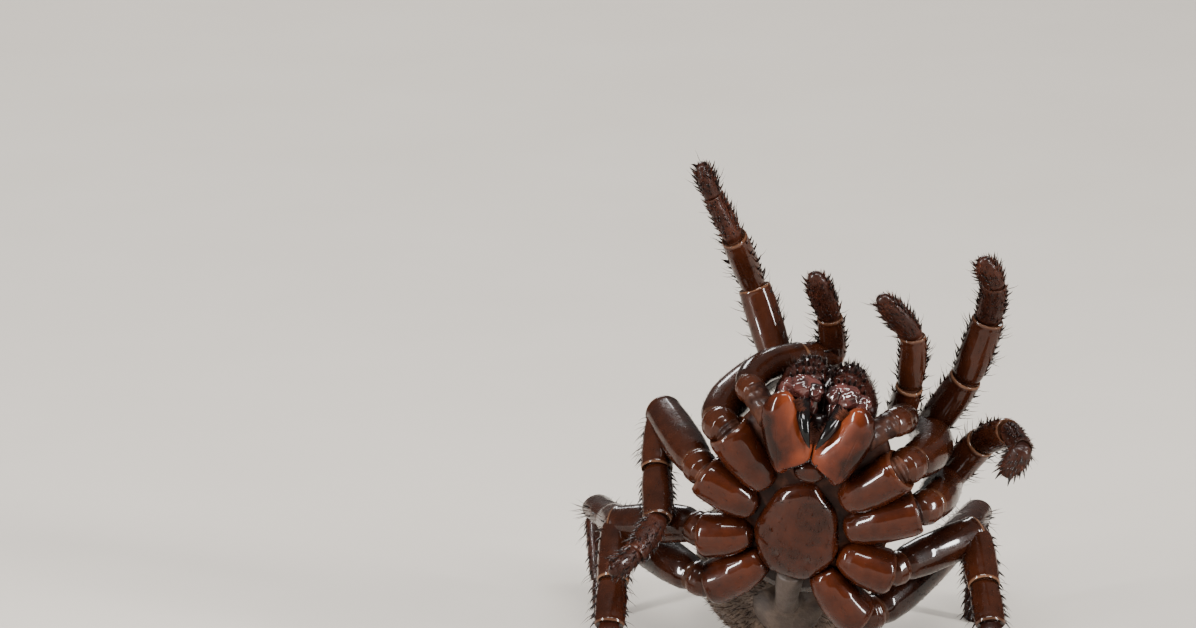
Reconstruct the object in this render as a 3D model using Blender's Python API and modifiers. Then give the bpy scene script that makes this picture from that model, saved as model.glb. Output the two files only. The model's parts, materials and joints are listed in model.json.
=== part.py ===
"""Trapdoor spider, rearing with its belly side to the front: a still, life-size model, 59 solids.

The front body (prosoma) is modelled in its own axes, in millimetres: x to the animal's right, y towards
its head, z towards its back, with the origin in the middle of the sternum. body_to_world() stands it
nearly upright. The limbs, the abdomen and the feet are placed in the world, +Z up, belly towards -Y.
Spines, claws and the digging teeth of the jaws are cones rooted in their node and fused with it.
"""

from math import cos, pi, radians, sin, sqrt
from random import Random

import bmesh
import bpy
from mathutils import Euler, Matrix, Vector

MM = 0.001
GAP = 0.3  # between neighbouring solids
HALF_GAP = GAP / 2

# How the front body stands
STERNUM_HEIGHT = 9.0
PITCH = 72.0  # head up, from lying flat
LEAN = 11.0  # head towards +X
TURN = -8.0  # belly towards -X

# Front body
CARAPACE_HALF_WIDTH = 4.4
CARAPACE_BACK = 4.9
CARAPACE_REACH = 6.6  # where its curve would end in front, were it not cut
CARAPACE_FRONT = 4.75  # the flat face behind the chelicerae
CARAPACE_MARGIN = 1.25  # height of its rim above the sternum's middle
CARAPACE_UNDERSIDE = 0.12  # how far it bulges below the rim
HEAD_NARROWING = 0.75
THORAX_RISE = 1.9
HEAD_RISE = 3.3
STERNUM_HALF = (2.1, 2.88, 1.0)
STERNUM_MIDDLE_Z = -0.45
LABIUM_HALF = (0.78, 0.7, 0.55)
LABIUM_MIDDLE = (0.0, 3.98, -0.95)
MAXILLA_TOP = -0.2
MAXILLA_BOTTOM = -1.65
MAXILLA_INNER_EDGE = 0.15
CHELICERA_HALF = (1.36, 3.6, 2.1)
CHELICERA_MIDDLE = (1.3, 4.9, 1.85)
CHELICERA_BOTTOM = 0.15
FANG_ROOT = (0.56, 7.35)
FANG_LENGTH = 1.85
FANG_DEPTH = 1.65
FANG_RADIUS = 0.48
EYE_RADIUS = 0.22
EYE_CLEARANCE = 0.12
EYES = {
    "front_inner": (0.3, 4.1),
    "front_outer": (0.95, 4.2),
    "back_inner": (0.62, 3.55),
    "back_outer": (1.15, 3.65),
}

# Abdomen and its ends, in the world
ABDOMEN_HALF = (4.6, 6.3, 4.3)
ABDOMEN_MIDDLE = (-0.4, 10.0, 4.25)
PEDICEL_RADIUS = 0.75
SPINNERET_OUT = 0.75
SPINNERET_LENGTH = 1.9

# Lengths of trochanter, femur, patella, tibia, metatarsus and tarsus, and the thickest radius of each
LENGTHS = {
    "palp": (0.9, 4.5, 2.4, 2.9, 0.0, 2.8),
    "leg_1": (1.0, 6.1, 4.0, 3.6, 2.6, 1.7),
    "leg_2": (1.0, 5.2, 3.4, 3.0, 2.4, 1.6),
    "leg_3": (0.9, 4.7, 3.2, 2.4, 3.0, 1.9),
    "leg_4": (1.0, 6.2, 4.2, 3.8, 3.8, 2.0),
}
RADII = {
    "palp": (0.76, 0.8, 0.74, 0.68, 0.6, 0.62),
    "leg_1": (0.95, 1.08, 0.9, 0.84, 0.66, 0.6),
    "leg_2": (0.92, 1.04, 0.86, 0.8, 0.64, 0.58),
    "leg_3": (0.88, 1.0, 0.88, 0.78, 0.6, 0.5),
    "leg_4": (0.92, 1.05, 0.92, 0.84, 0.62, 0.5),
}

# Coxae on the front body: inner end, outer end (for the right side, x turned over for the left)
COXA_RADIUS = 1.08
COXAE = {
    "leg_1_right": ((2.15, 2.3, -0.3), (4.4, 4.7, -0.2)),
    "leg_1_left": ((2.15, 2.3, -0.3), (4.4, 4.7, -0.2)),
    "leg_2_right": ((2.55, 0.65, -0.3), (5.1, 1.8, -0.1)),
    "leg_2_left": ((2.55, 0.65, -0.3), (5.55, 2.22, 0.15)),
    "leg_3_right": ((2.5, -1.0, -0.3), (4.6, -1.8, -0.1)),
    "leg_3_left": ((2.5, -1.0, -0.3), (4.8, -1.6, -0.1)),
    "leg_4_right": ((1.6, -2.45, -0.3), (3.8, -4.6, -0.1)),
    "leg_4_left": ((1.6, -2.45, -0.3), (3.8, -4.6, -0.1)),
}
PALP_COXA_INNER = (2.2, 6.1, 0.0)
PALP_ROOT = (3.35, 6.8, 0.3)

# How far some femora bow outward at their middle, clear of their neighbours
FEMUR_BOW = {"palp_right": 0.7, "leg_1_right": 0.3, "leg_1_left": 0.45}

# Raised limbs: each segment's lean to +X from upright and its tilt towards -Y, in degrees
RAISED = {
    "palp_right": ((-55, -57), (78, -52), (104, -41), (-7, 31), None, (-18, 27)),
    "palp_left": ((87, -44), (175, -76), (13, 30), (2, 17), None, (-36, 20)),
    "leg_1_right": ((-62, -55), (62, -54), (-18, -16), (-20, 28), (-25, 13), (-20, 16)),
    "leg_1_left": ((78, -49), (87, -80), (29, 25), (17, 18), (5, 35), (-22, 27)),
    "leg_2_right": ((-50, -56), (-51, -66), (-172, 46), (180, 50), (-140, 44), (-118, 40)),
    "leg_2_left": ((78, -39), (100, -79), (35, 29), (46, 55), (114, 76), (-151, -19)),
}

# Standing limbs: trochanter's direction, the knee and the foot, in the world
STANDING = {
    "leg_3_right": ((-66, -50), (-8.8, 4.2, 7.8), (-9.9, -3.4, 0.0)),
    "leg_3_left": ((75, -40), (8.6, 2.6, 7.6), (9.8, -4.0, 0.0)),
    "leg_4_right": ((-75, -20), (-8.4, 7.2, 6.4), (-9.8, 13.6, 0.0)),
    "leg_4_left": ((82, -25), (8.2, 6.4, 6.4), (9.6, 13.0, 0.0)),
}

# Thickness along a segment, in its radius
SWELL = ((0.0, 0.82), (0.13, 0.96), (0.5, 1.0), (0.86, 0.96), (1.0, 0.86))
SHORT_SWELL = ((0.0, 0.82), (0.5, 1.0), (1.0, 0.86))
PAST_JOINT = 0.5

# Spines along each side of the patella, tibia, metatarsus and tarsus
SPINES = {
    "palp": (2, 6, 0, 6),
    "leg_1": (2, 5, 5, 4),
    "leg_2": (0, 5, 4, 3),
    "leg_3": (3, 3, 3, 0),
    "leg_4": (0, 0, 3, 0),
}
SPINE_RADIUS = 0.43  # at its sunk root, so that it is half a millimetre thick where it leaves the limb
SPINE_ROOT = 0.45  # of the limb's radius, from its axis
SPINE_REACH = 0.6  # beyond the limb's surface
SPINE_STAGGER = radians(24)  # each side's spines alternate between two lines
SPINE_LEAN = 0.55  # towards the limb's tip
CLAW_RADIUS = 0.36
CLAW_REACH = 0.6
CLAW_SPREAD = 0.35
CLAW_BEND = 0.3
CLAW_HEIGHT = 0.38  # of a standing foot's claws over the floor
TOOTH_RADIUS = 0.4
TOOTH_REACH = 0.6
TEETH = 5  # digging teeth over the end of each jaw

SHELL = ("dark red-brown shell", (0.085, 0.022, 0.010), 0.25)
BELLY = ("red-brown belly shell", (0.19, 0.045, 0.014), 0.3)
JAW = ("jaw shell", (0.05, 0.014, 0.009), 0.18)
FANG = ("black fang", (0.008, 0.006, 0.006), 0.12)
SKIN = ("grey-brown skin", (0.16, 0.105, 0.075), 0.75)
EYE = ("dark eye", (0.01, 0.008, 0.008), 0.05)

MODEL = bpy.data.collections.new("Trapdoor_spider")


def material(look):
    """The Principled material of one look, made once."""
    name, colour, roughness = look
    found = bpy.data.materials.get(name)
    if found:
        return found
    made = bpy.data.materials.new(name)
    made.use_nodes = True
    shader = made.node_tree.nodes["Principled BSDF"]
    shader.inputs["Base Color"].default_value = (*colour, 1.0)
    shader.inputs["Roughness"].default_value = roughness
    return made


def body_axes():
    """Rotation from the front body's axes to the world's."""
    pitch = radians(PITCH)
    upright = Matrix(((-1, 0, 0), (0, -cos(pitch), sin(pitch)), (0, sin(pitch), cos(pitch))))
    return Euler((0, 0, radians(TURN))).to_matrix() @ Euler((0, radians(LEAN), 0)).to_matrix() @ upright


BODY_AXES = body_axes()
STERNUM_AT = Vector((0, 0, STERNUM_HEIGHT))


def body_to_world(point):
    return STERNUM_AT + BODY_AXES @ Vector(point)


def mirrored(point, side):
    """A point given for the animal's right side, on the side asked for."""
    return Vector((point[0] if side == "right" else -point[0], point[1], point[2]))


def direction(lean, towards):
    """Unit vector that leans to +X from upright and tilts towards -Y."""
    lean, towards = radians(lean), radians(towards)
    return Vector((sin(lean) * cos(towards), -sin(towards), cos(lean) * cos(towards)))


def smooth_step(value, low, high):
    t = min(max((value - low) / (high - low), 0.0), 1.0)
    return t * t * (3 - 2 * t)


def to_object(bm, name, look):
    """Finish a bmesh given in millimetres as a named object in metres."""
    bmesh.ops.remove_doubles(bm, verts=bm.verts, dist=0.002)
    bmesh.ops.recalc_face_normals(bm, faces=bm.faces)
    bmesh.ops.scale(bm, verts=bm.verts, vec=(MM, MM, MM))
    mesh = bpy.data.meshes.new(name)
    bm.to_mesh(mesh)
    bm.free()
    mesh.shade_smooth()
    mesh.set_sharp_from_angle(angle=radians(40))
    mesh.materials.append(material(look))
    obj = bpy.data.objects.new(name, mesh)
    MODEL.objects.link(obj)
    return obj


def cut(bm, point, outward):
    """Cut away what lies past a plane and close the cut."""
    geometry = bm.verts[:] + bm.edges[:] + bm.faces[:]
    bmesh.ops.bisect_plane(
        bm, geom=geometry, dist=1e-5, plane_co=point, plane_no=outward, clear_outer=True
    )
    rim = [edge for edge in bm.edges if edge.is_boundary]
    bmesh.ops.holes_fill(bm, edges=rim, sides=0)


def keep_largest(bm):
    """Drop every closed surface but the largest."""
    left, largest = set(bm.verts), set()
    while left:
        start = left.pop()
        found, front = {start}, [start]
        while front:
            for edge in front.pop().link_edges:
                for vert in edge.verts:
                    if vert not in found:
                        found.add(vert)
                        front.append(vert)
        left -= found
        if len(found) > len(largest):
            largest = found
    bmesh.ops.delete(bm, geom=[v for v in bm.verts if v not in largest], context="VERTS")


def helper(bm):
    """A helper object that holds a bmesh, in millimetres."""
    mesh = bpy.data.meshes.new("helper")
    bm.to_mesh(mesh)
    bm.free()
    return bpy.data.objects.new("helper", mesh)


def evaluated(obj):
    """The shape that a helper object takes with its modifiers, as a bmesh. The helper is removed."""
    bpy.context.scene.collection.objects.link(obj)
    graph = bpy.context.evaluated_depsgraph_get()
    mesh = bpy.data.meshes.new_from_object(obj.evaluated_get(graph))
    bm = bmesh.new()
    bm.from_mesh(mesh)
    bpy.data.objects.remove(obj)
    bpy.data.meshes.remove(mesh)
    return bm


def fused(body, pieces):
    """A body and the closed pieces rooted in it, all bmeshes, as one closed surface."""
    rooted = bpy.data.collections.new("rooted pieces")
    bpy.context.scene.collection.children.link(rooted)
    for piece in pieces:
        rooted.objects.link(helper(piece))
    holder = helper(body)
    union = holder.modifiers.new("union", "BOOLEAN")
    union.operation = "UNION"
    union.operand_type = "COLLECTION"
    union.collection = rooted
    bm = evaluated(holder)
    for piece in list(rooted.objects):
        bpy.data.objects.remove(piece)
    bpy.data.collections.remove(rooted)
    keep_largest(bm)
    return bm


def cone(start, end, radius):
    """A five-sided pointed cone as a bmesh in millimetres."""
    along = end - start
    place = Matrix.Translation(start.lerp(end, 0.5)) @ along.to_track_quat("Z", "Y").to_matrix().to_4x4()
    bm = bmesh.new()
    bmesh.ops.create_cone(
        bm, cap_ends=True, segments=5, radius1=radius, radius2=0.0, depth=along.length, matrix=place
    )
    bmesh.ops.remove_doubles(bm, verts=bm.verts, dist=0.002)
    return bm


def ball(segments, rings, shape):
    """A sphere whose points, on the unit sphere, are moved by shape(x, y, z)."""
    bm = bmesh.new()
    bmesh.ops.create_uvsphere(bm, u_segments=segments, v_segments=rings, radius=1.0)
    for vert in bm.verts:
        vert.co = shape(*vert.co)
    return bm


def tube(points, radii, sides=10):
    """A closed round tube along points, with a radius at each, as a bmesh in millimetres."""
    curve = bpy.data.curves.new("tube", "CURVE")
    curve.dimensions = "3D"
    curve.bevel_depth = 1.0
    curve.bevel_resolution = sides // 2 - 2
    curve.use_fill_caps = True
    spline = curve.splines.new("POLY")
    spline.points.add(len(points) - 1)
    for slot, point, radius in zip(spline.points, points, radii):
        slot.co = (*point, 1.0)
        slot.radius = radius
    bm = evaluated(bpy.data.objects.new("tube", curve))
    bmesh.ops.remove_doubles(bm, verts=bm.verts, dist=0.002)
    return bm


def carapace_half_width(y):
    return CARAPACE_HALF_WIDTH - HEAD_NARROWING * smooth_step(y, 0.0, 3.0)


def carapace_rise(y):
    """How far the carapace rises over its rim: low over the legs and high over the head."""
    return THORAX_RISE + (HEAD_RISE - THORAX_RISE) * smooth_step(y, -0.6, 2.6)


def carapace_height(x, y):
    """Height of the carapace over the sternum's middle."""
    reach = CARAPACE_REACH if y > 0 else CARAPACE_BACK
    inside = 1 - (x / carapace_half_width(y)) ** 2 - (y / reach) ** 2
    return CARAPACE_MARGIN + carapace_rise(y) * max(inside, 0.0) ** 0.3


def carapace():
    """The back plate: a dome, steeper than an ellipsoid, over a nearly flat underside."""

    def shape(x, y, z):
        along = y * (CARAPACE_REACH if y > 0 else CARAPACE_BACK)
        across = x * carapace_half_width(along)
        up = carapace_rise(along) * z**0.6 if z > 0 else CARAPACE_UNDERSIDE * z
        return body_to_world((across, along, CARAPACE_MARGIN + up))

    bm = ball(30, 14, shape)
    cut(bm, body_to_world((0, CARAPACE_FRONT, 0)), BODY_AXES @ Vector((0, 1, 0)))
    to_object(bm, "carapace", SHELL)


def sternum():
    """The breast plate: a low shield, narrower in front."""
    half_x, half_y, half_z = STERNUM_HALF

    def shape(x, y, z):
        narrow = 1 - 0.16 * y
        return body_to_world((half_x * x * narrow, half_y * y, STERNUM_MIDDLE_Z + half_z * z))

    to_object(ball(22, 10, shape), "sternum", BELLY)


def labium():
    """The small lip plate between the sternum and the mouth."""

    def shape(x, y, z):
        narrow = 1 - 0.15 * y
        halves = (LABIUM_HALF[0] * narrow * x, LABIUM_HALF[1] * y, LABIUM_HALF[2] * z)
        return body_to_world(Vector(LABIUM_MIDDLE) + Vector(halves))

    to_object(ball(14, 8, shape), "labium", BELLY)


def maxilla(side):
    """The palp's flat coxa: a pebble with the outline of the mouth's edge, from a subdivided cage."""
    outline = (
        (-0.4, 4.8), (0.75, 4.5), (1.2, 3.3), (2.15, 4.3), (2.75, 5.8), (3.0, 7.0),
        (2.45, 8.0), (1.85, 8.25), (1.35, 7.95), (0.8, 6.6), (-0.35, 5.5),
    )
    bm = bmesh.new()
    layers = []
    for height, shrink in ((MAXILLA_TOP, 0.96), (MAXILLA_BOTTOM, 0.9)):
        middle = Vector((1.7, 6.2))
        flat = [middle + (Vector(p) - middle) * shrink for p in outline]
        layers.append([bm.verts.new(mirrored((p.x, p.y, height), side)) for p in flat])
    count = len(outline)
    for layer in layers:
        bm.faces.new(layer)
    for i in range(count):
        j = (i + 1) % count
        bm.faces.new((layers[0][i], layers[0][j], layers[1][j], layers[1][i]))
    bmesh.ops.recalc_face_normals(bm, faces=bm.faces)
    cage = helper(bm)
    rounded = cage.modifiers.new("rounded", "SUBSURF")
    rounded.levels = 2
    rounded.render_levels = 2
    bm = evaluated(cage)
    cut(bm, mirrored((MAXILLA_INNER_EDGE, 0, 0), side), mirrored((-1, 0, 0), side))
    for vert in bm.verts:
        vert.co = body_to_world(vert.co)
    to_object(bm, f"maxilla_{side}", BELLY)


def chelicera_surface(x, y, z):
    """Where a point of the unit sphere lies on the right jaw, a blunt dome, in the body's axes."""
    half_x, half_y, half_z = CHELICERA_HALF
    boxy = (x**4 + z**4 + y**2) ** -0.12
    return Vector(CHELICERA_MIDDLE) + Vector((half_x * x * boxy, half_y * y, half_z * z * boxy - 0.1 * y))


def digging_teeth(side):
    """A row of short stout spines over the end of a jaw, leaning forward."""
    teeth = []
    for i in range(TEETH):
        across = 0.3 - 0.8 * i / (TEETH - 1)
        up = 0.5 + 0.12 * sin(pi * i / (TEETH - 1))
        ahead = sqrt(1 - across**2 - up**2)
        surface = chelicera_surface(across, ahead, up)
        way = Vector((0.25 * across, 0.85, 0.55)).normalized()
        start, end = surface - way * 0.5, surface + way * TOOTH_REACH
        start, end = (body_to_world(mirrored(point, side)) for point in (start, end))
        teeth.append(cone(start, end, TOOTH_RADIUS))
    return teeth


def chelicera(side):
    """Half of the jaws: a dome, flat where it meets the carapace, its twin and the mouth."""

    def shape(x, y, z):
        return mirrored(chelicera_surface(x, y, z), side)

    bm = ball(18, 12, shape)
    cut(bm, (0, CARAPACE_FRONT + GAP, 0), (0, -1, 0))
    cut(bm, mirrored((HALF_GAP, 0, 0), side), mirrored((-1, 0, 0), side))
    cut(bm, (0, 0, CHELICERA_BOTTOM), (0, 0, -1))
    for vert in bm.verts:
        vert.co = body_to_world(vert.co)
    to_object(fused(bm, digging_teeth(side)), f"chelicera_{side}", JAW)


def fang(side):
    """A hook from under the chelicera's end back to the bottom of the mouth."""
    top = CHELICERA_BOTTOM - GAP
    steps = 9
    path, radii = [], []
    for i in range(steps):
        t = i / (steps - 1)
        bend = sin(t * 0.62 * pi)
        inward = FANG_ROOT[0] - 0.3 * t
        ahead = FANG_ROOT[1] - FANG_LENGTH * t**1.3 + 0.25 * bend
        path.append(body_to_world(mirrored((inward, ahead, top - FANG_DEPTH * bend), side)))
        radii.append((FANG_RADIUS - 0.1) * (1 - t) ** 0.8 + 0.1)
    bm = tube(path, radii, 8)
    cut(bm, body_to_world((0, 0, top)), BODY_AXES @ Vector((0, 0, 1)))
    to_object(bm, f"fang_{side}", FANG)


def eyes():
    """Eight eyes on a low mound near the carapace's front edge."""
    for row, (x, y) in EYES.items():
        for side in ("right", "left"):
            height = carapace_height(x, y) + EYE_RADIUS + EYE_CLEARANCE
            middle = body_to_world(mirrored((x, y, height), side))
            bm = bmesh.new()
            bmesh.ops.create_icosphere(bm, subdivisions=2, radius=EYE_RADIUS)
            bmesh.ops.translate(bm, verts=bm.verts, vec=middle)
            to_object(bm, f"eye_{row}_{side}", EYE)


def abdomen():
    """An egg, thicker behind its middle, with a flat where it lies on the floor."""
    half_x, half_y, half_z = ABDOMEN_HALF

    def shape(x, y, z):
        full = 1 - 0.12 * y * y
        return Vector(ABDOMEN_MIDDLE) + Vector((half_x * x * full, half_y * y, half_z * z * (1 - 0.08 * y)))

    bm = ball(28, 16, shape)
    cut(bm, (0, 0, 0), (0, 0, -1))
    to_object(bm, "abdomen", SKIN)


def pedicel():
    """The thin waist between the front body and the abdomen."""
    front = body_to_world((0, -3.4, -0.1))
    back = Vector(ABDOMEN_MIDDLE) + Vector((0, -ABDOMEN_HALF[1] - GAP, -0.5))
    bend = body_to_world((0, -5.5, 0))
    to_object(tube((front, bend, back), (0.6, PEDICEL_RADIUS, PEDICEL_RADIUS)), "pedicel", SKIN)


def spinneret(side):
    """A short three-jointed spinneret at the abdomen's end."""
    out = SPINNERET_OUT if side == "left" else -SPINNERET_OUT
    root = Vector(ABDOMEN_MIDDLE) + Vector((out, ABDOMEN_HALF[1] + 0.1, -1.3))
    profile = ((0, 0.5), (0.38, 0.55), (0.44, 0.45), (0.7, 0.45), (0.76, 0.34), (1.0, 0.27))
    path = [root + Vector((out * 0.5 * t, SPINNERET_LENGTH * t, 0.5 * t * t)) for t, radius in profile]
    to_object(tube(path, [radius for t, radius in profile]), f"spinneret_{side}", SKIN)


def joints_of(limb):
    """World positions of a limb's joints, from the coxa's outer end to the tarsus' tip."""
    kind, side = limb.rsplit("_", 1)
    root = PALP_ROOT if kind == "palp" else COXAE[limb][1]
    points = [body_to_world(mirrored(root, side))]
    lengths = LENGTHS[kind]
    if limb in RAISED:
        for length, angles in zip(lengths, RAISED[limb]):
            if angles:
                points.append(points[-1] + direction(*angles) * length)
        return points
    angles, knee, foot = STANDING[limb]
    points.append(points[0] + direction(*angles) * lengths[0])
    towards_knee = (Vector(knee) - points[1]).normalized()
    knee = points[1] + towards_knee * lengths[1]
    foot = Vector(foot)
    upper, lower = lengths[2] + lengths[3], lengths[4] + lengths[5]
    line = foot - knee
    reach = line.length
    along = (upper**2 - lower**2 + reach**2) / (2 * reach)
    rise = sqrt(max(upper**2 - along**2, 0.0))
    outward = Vector((0, 0, 1)) + Vector((line.x, line.y, 0)).normalized() * 0.6
    outward = (outward - line.normalized() * outward.dot(line.normalized())).normalized()
    elbow = knee + line.normalized() * along + outward * rise
    points.append(knee)
    points.append(knee.lerp(elbow, lengths[2] / upper))
    points.append(elbow)
    points.append(elbow.lerp(foot, lengths[4] / lower))
    points.append(foot)
    return points


def segment(start, end, radius, bow, tip):
    """One segment of a limb: a tube, thickest in its middle and rounded past its joints or narrow at its tip."""
    along = (end - start).normalized()
    profile = SWELL if (end - start).length > 1.5 else SHORT_SWELL
    path = [start - along * radius * PAST_JOINT]
    sizes = [radius * PAST_JOINT]
    for t, swell in profile:
        path.append(start.lerp(end, t) + bow * sin(pi * t))
        sizes.append(radius * swell)
    if tip:
        sizes[-1] *= 0.6
    else:
        path.append(end + along * radius * PAST_JOINT)
        sizes.append(radius * PAST_JOINT)
    return tube(path, sizes)


def across_of(along, face):
    """Unit vector sideways of a segment that shows its underside towards face."""
    across = along.cross(face)
    if across.length < 0.4:
        across = along.cross(Vector((0, 0, 1)))
    return across.normalized()


def limb_spines(start, end, radius, count, face, chance):
    """Tapered spines along both sides of a segment, leaning towards its end."""
    along = (end - start).normalized()
    across = across_of(along, face)
    front = across.cross(along)
    made = []
    for side in (1, -1):
        for i in range(count):
            turn = SPINE_STAGGER if i % 2 else -SPINE_STAGGER
            out = across * side * cos(turn) + front * sin(turn)
            reach = SPINE_REACH * chance.uniform(0.85, 1.15)
            middle = start.lerp(end, 0.1 + 0.8 * (i + 0.5) / count)
            point = middle + out * (radius + reach) + along * reach * SPINE_LEAN
            made.append(cone(middle + out * radius * SPINE_ROOT, point, SPINE_RADIUS))
    return made


def claws(tip, along, face, spreads):
    """Claws at a limb's tip, bent a little towards its underside."""
    across = across_of(along, face)
    made = []
    for spread in spreads:
        way = (along + across * spread + face * CLAW_BEND).normalized()
        made.append(cone(tip - along * 0.5 + across * spread * 0.4, tip + way * CLAW_REACH, CLAW_RADIUS))
    return made


def limb(name):
    """A leg's four nodes, or a palp's three, each cut on the mitre planes it shares with its neighbours."""
    kind, side = name.rsplit("_", 1)
    joints = joints_of(name)
    radii = [radius for radius, length in zip(RADII[kind], LENGTHS[kind]) if length]
    counts = [count for count, length in zip((0, 0, *SPINES[kind]), LENGTHS[kind]) if length]
    chance = Random(name)
    standing = name in STANDING
    face = Vector((0, 0, -1)) if standing else BODY_AXES @ Vector((0, 0, -1))
    inner = PALP_COXA_INNER if kind == "palp" else COXAE[name][0]
    coxa_inner = body_to_world(mirrored(inner, side))
    if kind != "palp":
        coxa(f"{kind}_coxa_{side}", coxa_inner, joints)
    for part, first in (("femur", 0), ("tibia", 2), ("tarsus", 4)):
        last = min(first + 2, len(joints) - 1)
        pieces = []
        for i in range(first, last):
            bowed = FEMUR_BOW.get(name, 0.0) if i == 1 else 0.0
            bow = BODY_AXES @ mirrored((bowed, 0, 0), side)
            tip = i + 2 == len(joints) and not standing
            pieces.append(segment(joints[i], joints[i + 1], radii[i], bow, tip))
            pieces.extend(limb_spines(joints[i], joints[i + 1], radii[i], counts[i], face, chance))
        if part == "tarsus":
            pieces.extend(foot_claws(joints, kind, standing, face))
        bm = fused(pieces[0], pieces[1:])
        mitre(bm, coxa_inner if first == 0 else joints[first - 1], joints[first], joints[first + 1])
        if part != "tarsus":
            mitre(bm, joints[last + 1], joints[last], joints[last - 1])
        elif standing:
            cut(bm, (0, 0, 0), (0, 0, -1))
        keep_largest(bm)
        to_object(bm, f"{kind}_{part}_{side}", SHELL)


def foot_claws(joints, kind, standing, face):
    """A palp's one claw or a leg's two. A standing foot's lie level just over the floor."""
    along = (joints[-1] - joints[-2]).normalized()
    spreads = (0.0,) if kind == "palp" else (-CLAW_SPREAD, CLAW_SPREAD)
    if not standing:
        return claws(joints[-1], along, face, spreads)
    level = Vector((along.x, along.y, 0)).normalized()
    return claws(joints[-1] + Vector((0, 0, CLAW_HEIGHT)), level, Vector(), spreads)


def mitre(bm, beyond, joint, before):
    """Cut a limb's end on the plane that halves the bend at a joint, half a gap short of it."""
    outward = ((beyond - joint).normalized() - (before - joint).normalized()).normalized()
    cut(bm, joint - outward * HALF_GAP, outward)


def coxa(name, inner, joints):
    """A leg's first segment, beside the sternum, narrow at its inner end."""
    profile = ((0, 0.62), (0.2, 0.78), (0.55, 0.98), (0.85, 1.0), (1.0, 0.84))
    path = [inner.lerp(joints[0], t) for t, thick in profile]
    path.append(joints[0] + (joints[0] - inner).normalized() * 0.5)
    bm = tube(path, [COXA_RADIUS * thick for thick in (*(thick for t, thick in profile), 0.6)])
    mitre(bm, joints[1], joints[0], inner)
    to_object(bm, name, BELLY)


def centre_on_floor():
    """Move everything so that the middle of its box stands over the origin, on the floor."""
    corners = [obj.matrix_world @ v.co for obj in MODEL.objects for v in obj.data.vertices]
    middle = Vector(
        (
            (min(c.x for c in corners) + max(c.x for c in corners)) / 2,
            (min(c.y for c in corners) + max(c.y for c in corners)) / 2,
            min(c.z for c in corners),
        )
    )
    for obj in MODEL.objects:
        obj.data.transform(Matrix.Translation(-middle))


def main():
    for obj in list(bpy.data.objects):
        bpy.data.objects.remove(obj)
    bpy.context.scene.collection.children.link(MODEL)
    carapace()
    sternum()
    labium()
    for side in ("right", "left"):
        maxilla(side)
        chelicera(side)
        fang(side)
        spinneret(side)
    eyes()
    pedicel()
    abdomen()
    for name in (*RAISED, *STANDING):
        limb(name)
    centre_on_floor()


main()
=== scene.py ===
"""A trapdoor spider that rears with open fangs: the looks of a still, life-size model.

Shapes are worked out in millimetres. The front body has its own axes: x to the animal's right, y towards
its head, z towards its back, from the middle of the sternum. In the world +Z is up and the belly faces
-Y. add_piece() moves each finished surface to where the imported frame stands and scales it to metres.
"""

import json
from math import cos, pi, radians, sin, sqrt

import bpy
import numpy as np
from mathutils import Euler, Matrix, Vector

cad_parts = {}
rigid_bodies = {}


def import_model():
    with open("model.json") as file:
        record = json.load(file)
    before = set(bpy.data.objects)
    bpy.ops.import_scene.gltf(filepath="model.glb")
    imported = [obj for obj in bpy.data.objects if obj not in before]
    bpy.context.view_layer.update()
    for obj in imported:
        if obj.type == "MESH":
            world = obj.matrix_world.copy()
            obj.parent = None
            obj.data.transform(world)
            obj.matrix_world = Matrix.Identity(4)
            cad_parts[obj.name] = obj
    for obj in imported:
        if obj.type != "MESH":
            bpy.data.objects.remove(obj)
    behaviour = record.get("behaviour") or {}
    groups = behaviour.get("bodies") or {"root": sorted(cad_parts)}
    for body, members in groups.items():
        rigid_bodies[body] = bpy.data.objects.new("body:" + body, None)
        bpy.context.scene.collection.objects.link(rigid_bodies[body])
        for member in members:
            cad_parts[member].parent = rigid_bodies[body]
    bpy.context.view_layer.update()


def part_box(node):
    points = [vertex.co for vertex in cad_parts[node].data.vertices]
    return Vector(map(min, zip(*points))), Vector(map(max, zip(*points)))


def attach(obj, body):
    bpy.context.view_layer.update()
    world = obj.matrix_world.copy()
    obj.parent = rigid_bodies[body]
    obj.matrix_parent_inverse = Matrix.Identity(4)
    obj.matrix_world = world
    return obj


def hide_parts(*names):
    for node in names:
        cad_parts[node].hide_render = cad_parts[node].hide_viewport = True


for startup_object in list(bpy.data.objects):
    bpy.data.objects.remove(startup_object)
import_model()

MM = 0.001
UP = np.array((0.0, 0.0, 1.0))
SIDEWAYS = np.array((1.0, 0.0, 0.0))
NOTHING = np.zeros(3)
SIDES = ("right", "left")

# How the front body stands, as in the solids
STERNUM_AT = np.array((0.0, 0.0, 9.0))
PITCH, LEAN, TURN = 72.0, 11.0, -8.0

# Sizes of the front body, as in the solids
CARAPACE_HALF_WIDTH = 4.4
CARAPACE_BACK = 4.9
CARAPACE_REACH = 6.6
CARAPACE_FRONT = 4.75
CARAPACE_MARGIN = 1.25
HEAD_NARROWING = 0.75
THORAX_RISE, HEAD_RISE = 1.9, 3.3
STERNUM_HALF = (2.1, 2.88, 1.0)
STERNUM_MIDDLE_Z = -0.45
STERNUM_TAPER = 0.16
LABIUM_HALF = np.array((0.78, 0.7, 0.55))
LABIUM_MIDDLE = np.array((0.0, 3.98, -0.95))
MAXILLA_TOP, MAXILLA_BOTTOM = -0.2, -1.65
MAXILLA_SEAM = 0.03
MAXILLA_RIDGE = np.array(((1.5, 4.4), (2.15, 7.2)))
MAXILLA_OUTLINE = np.array((
    (-0.4, 4.8), (0.75, 4.5), (1.2, 3.3), (2.15, 4.3), (2.75, 5.8), (3.0, 7.0),
    (2.45, 8.0), (1.85, 8.25), (1.35, 7.95), (0.8, 6.6), (-0.35, 5.5),
))
CHELICERA_HALF = np.array((1.36, 3.6, 2.1))
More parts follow.
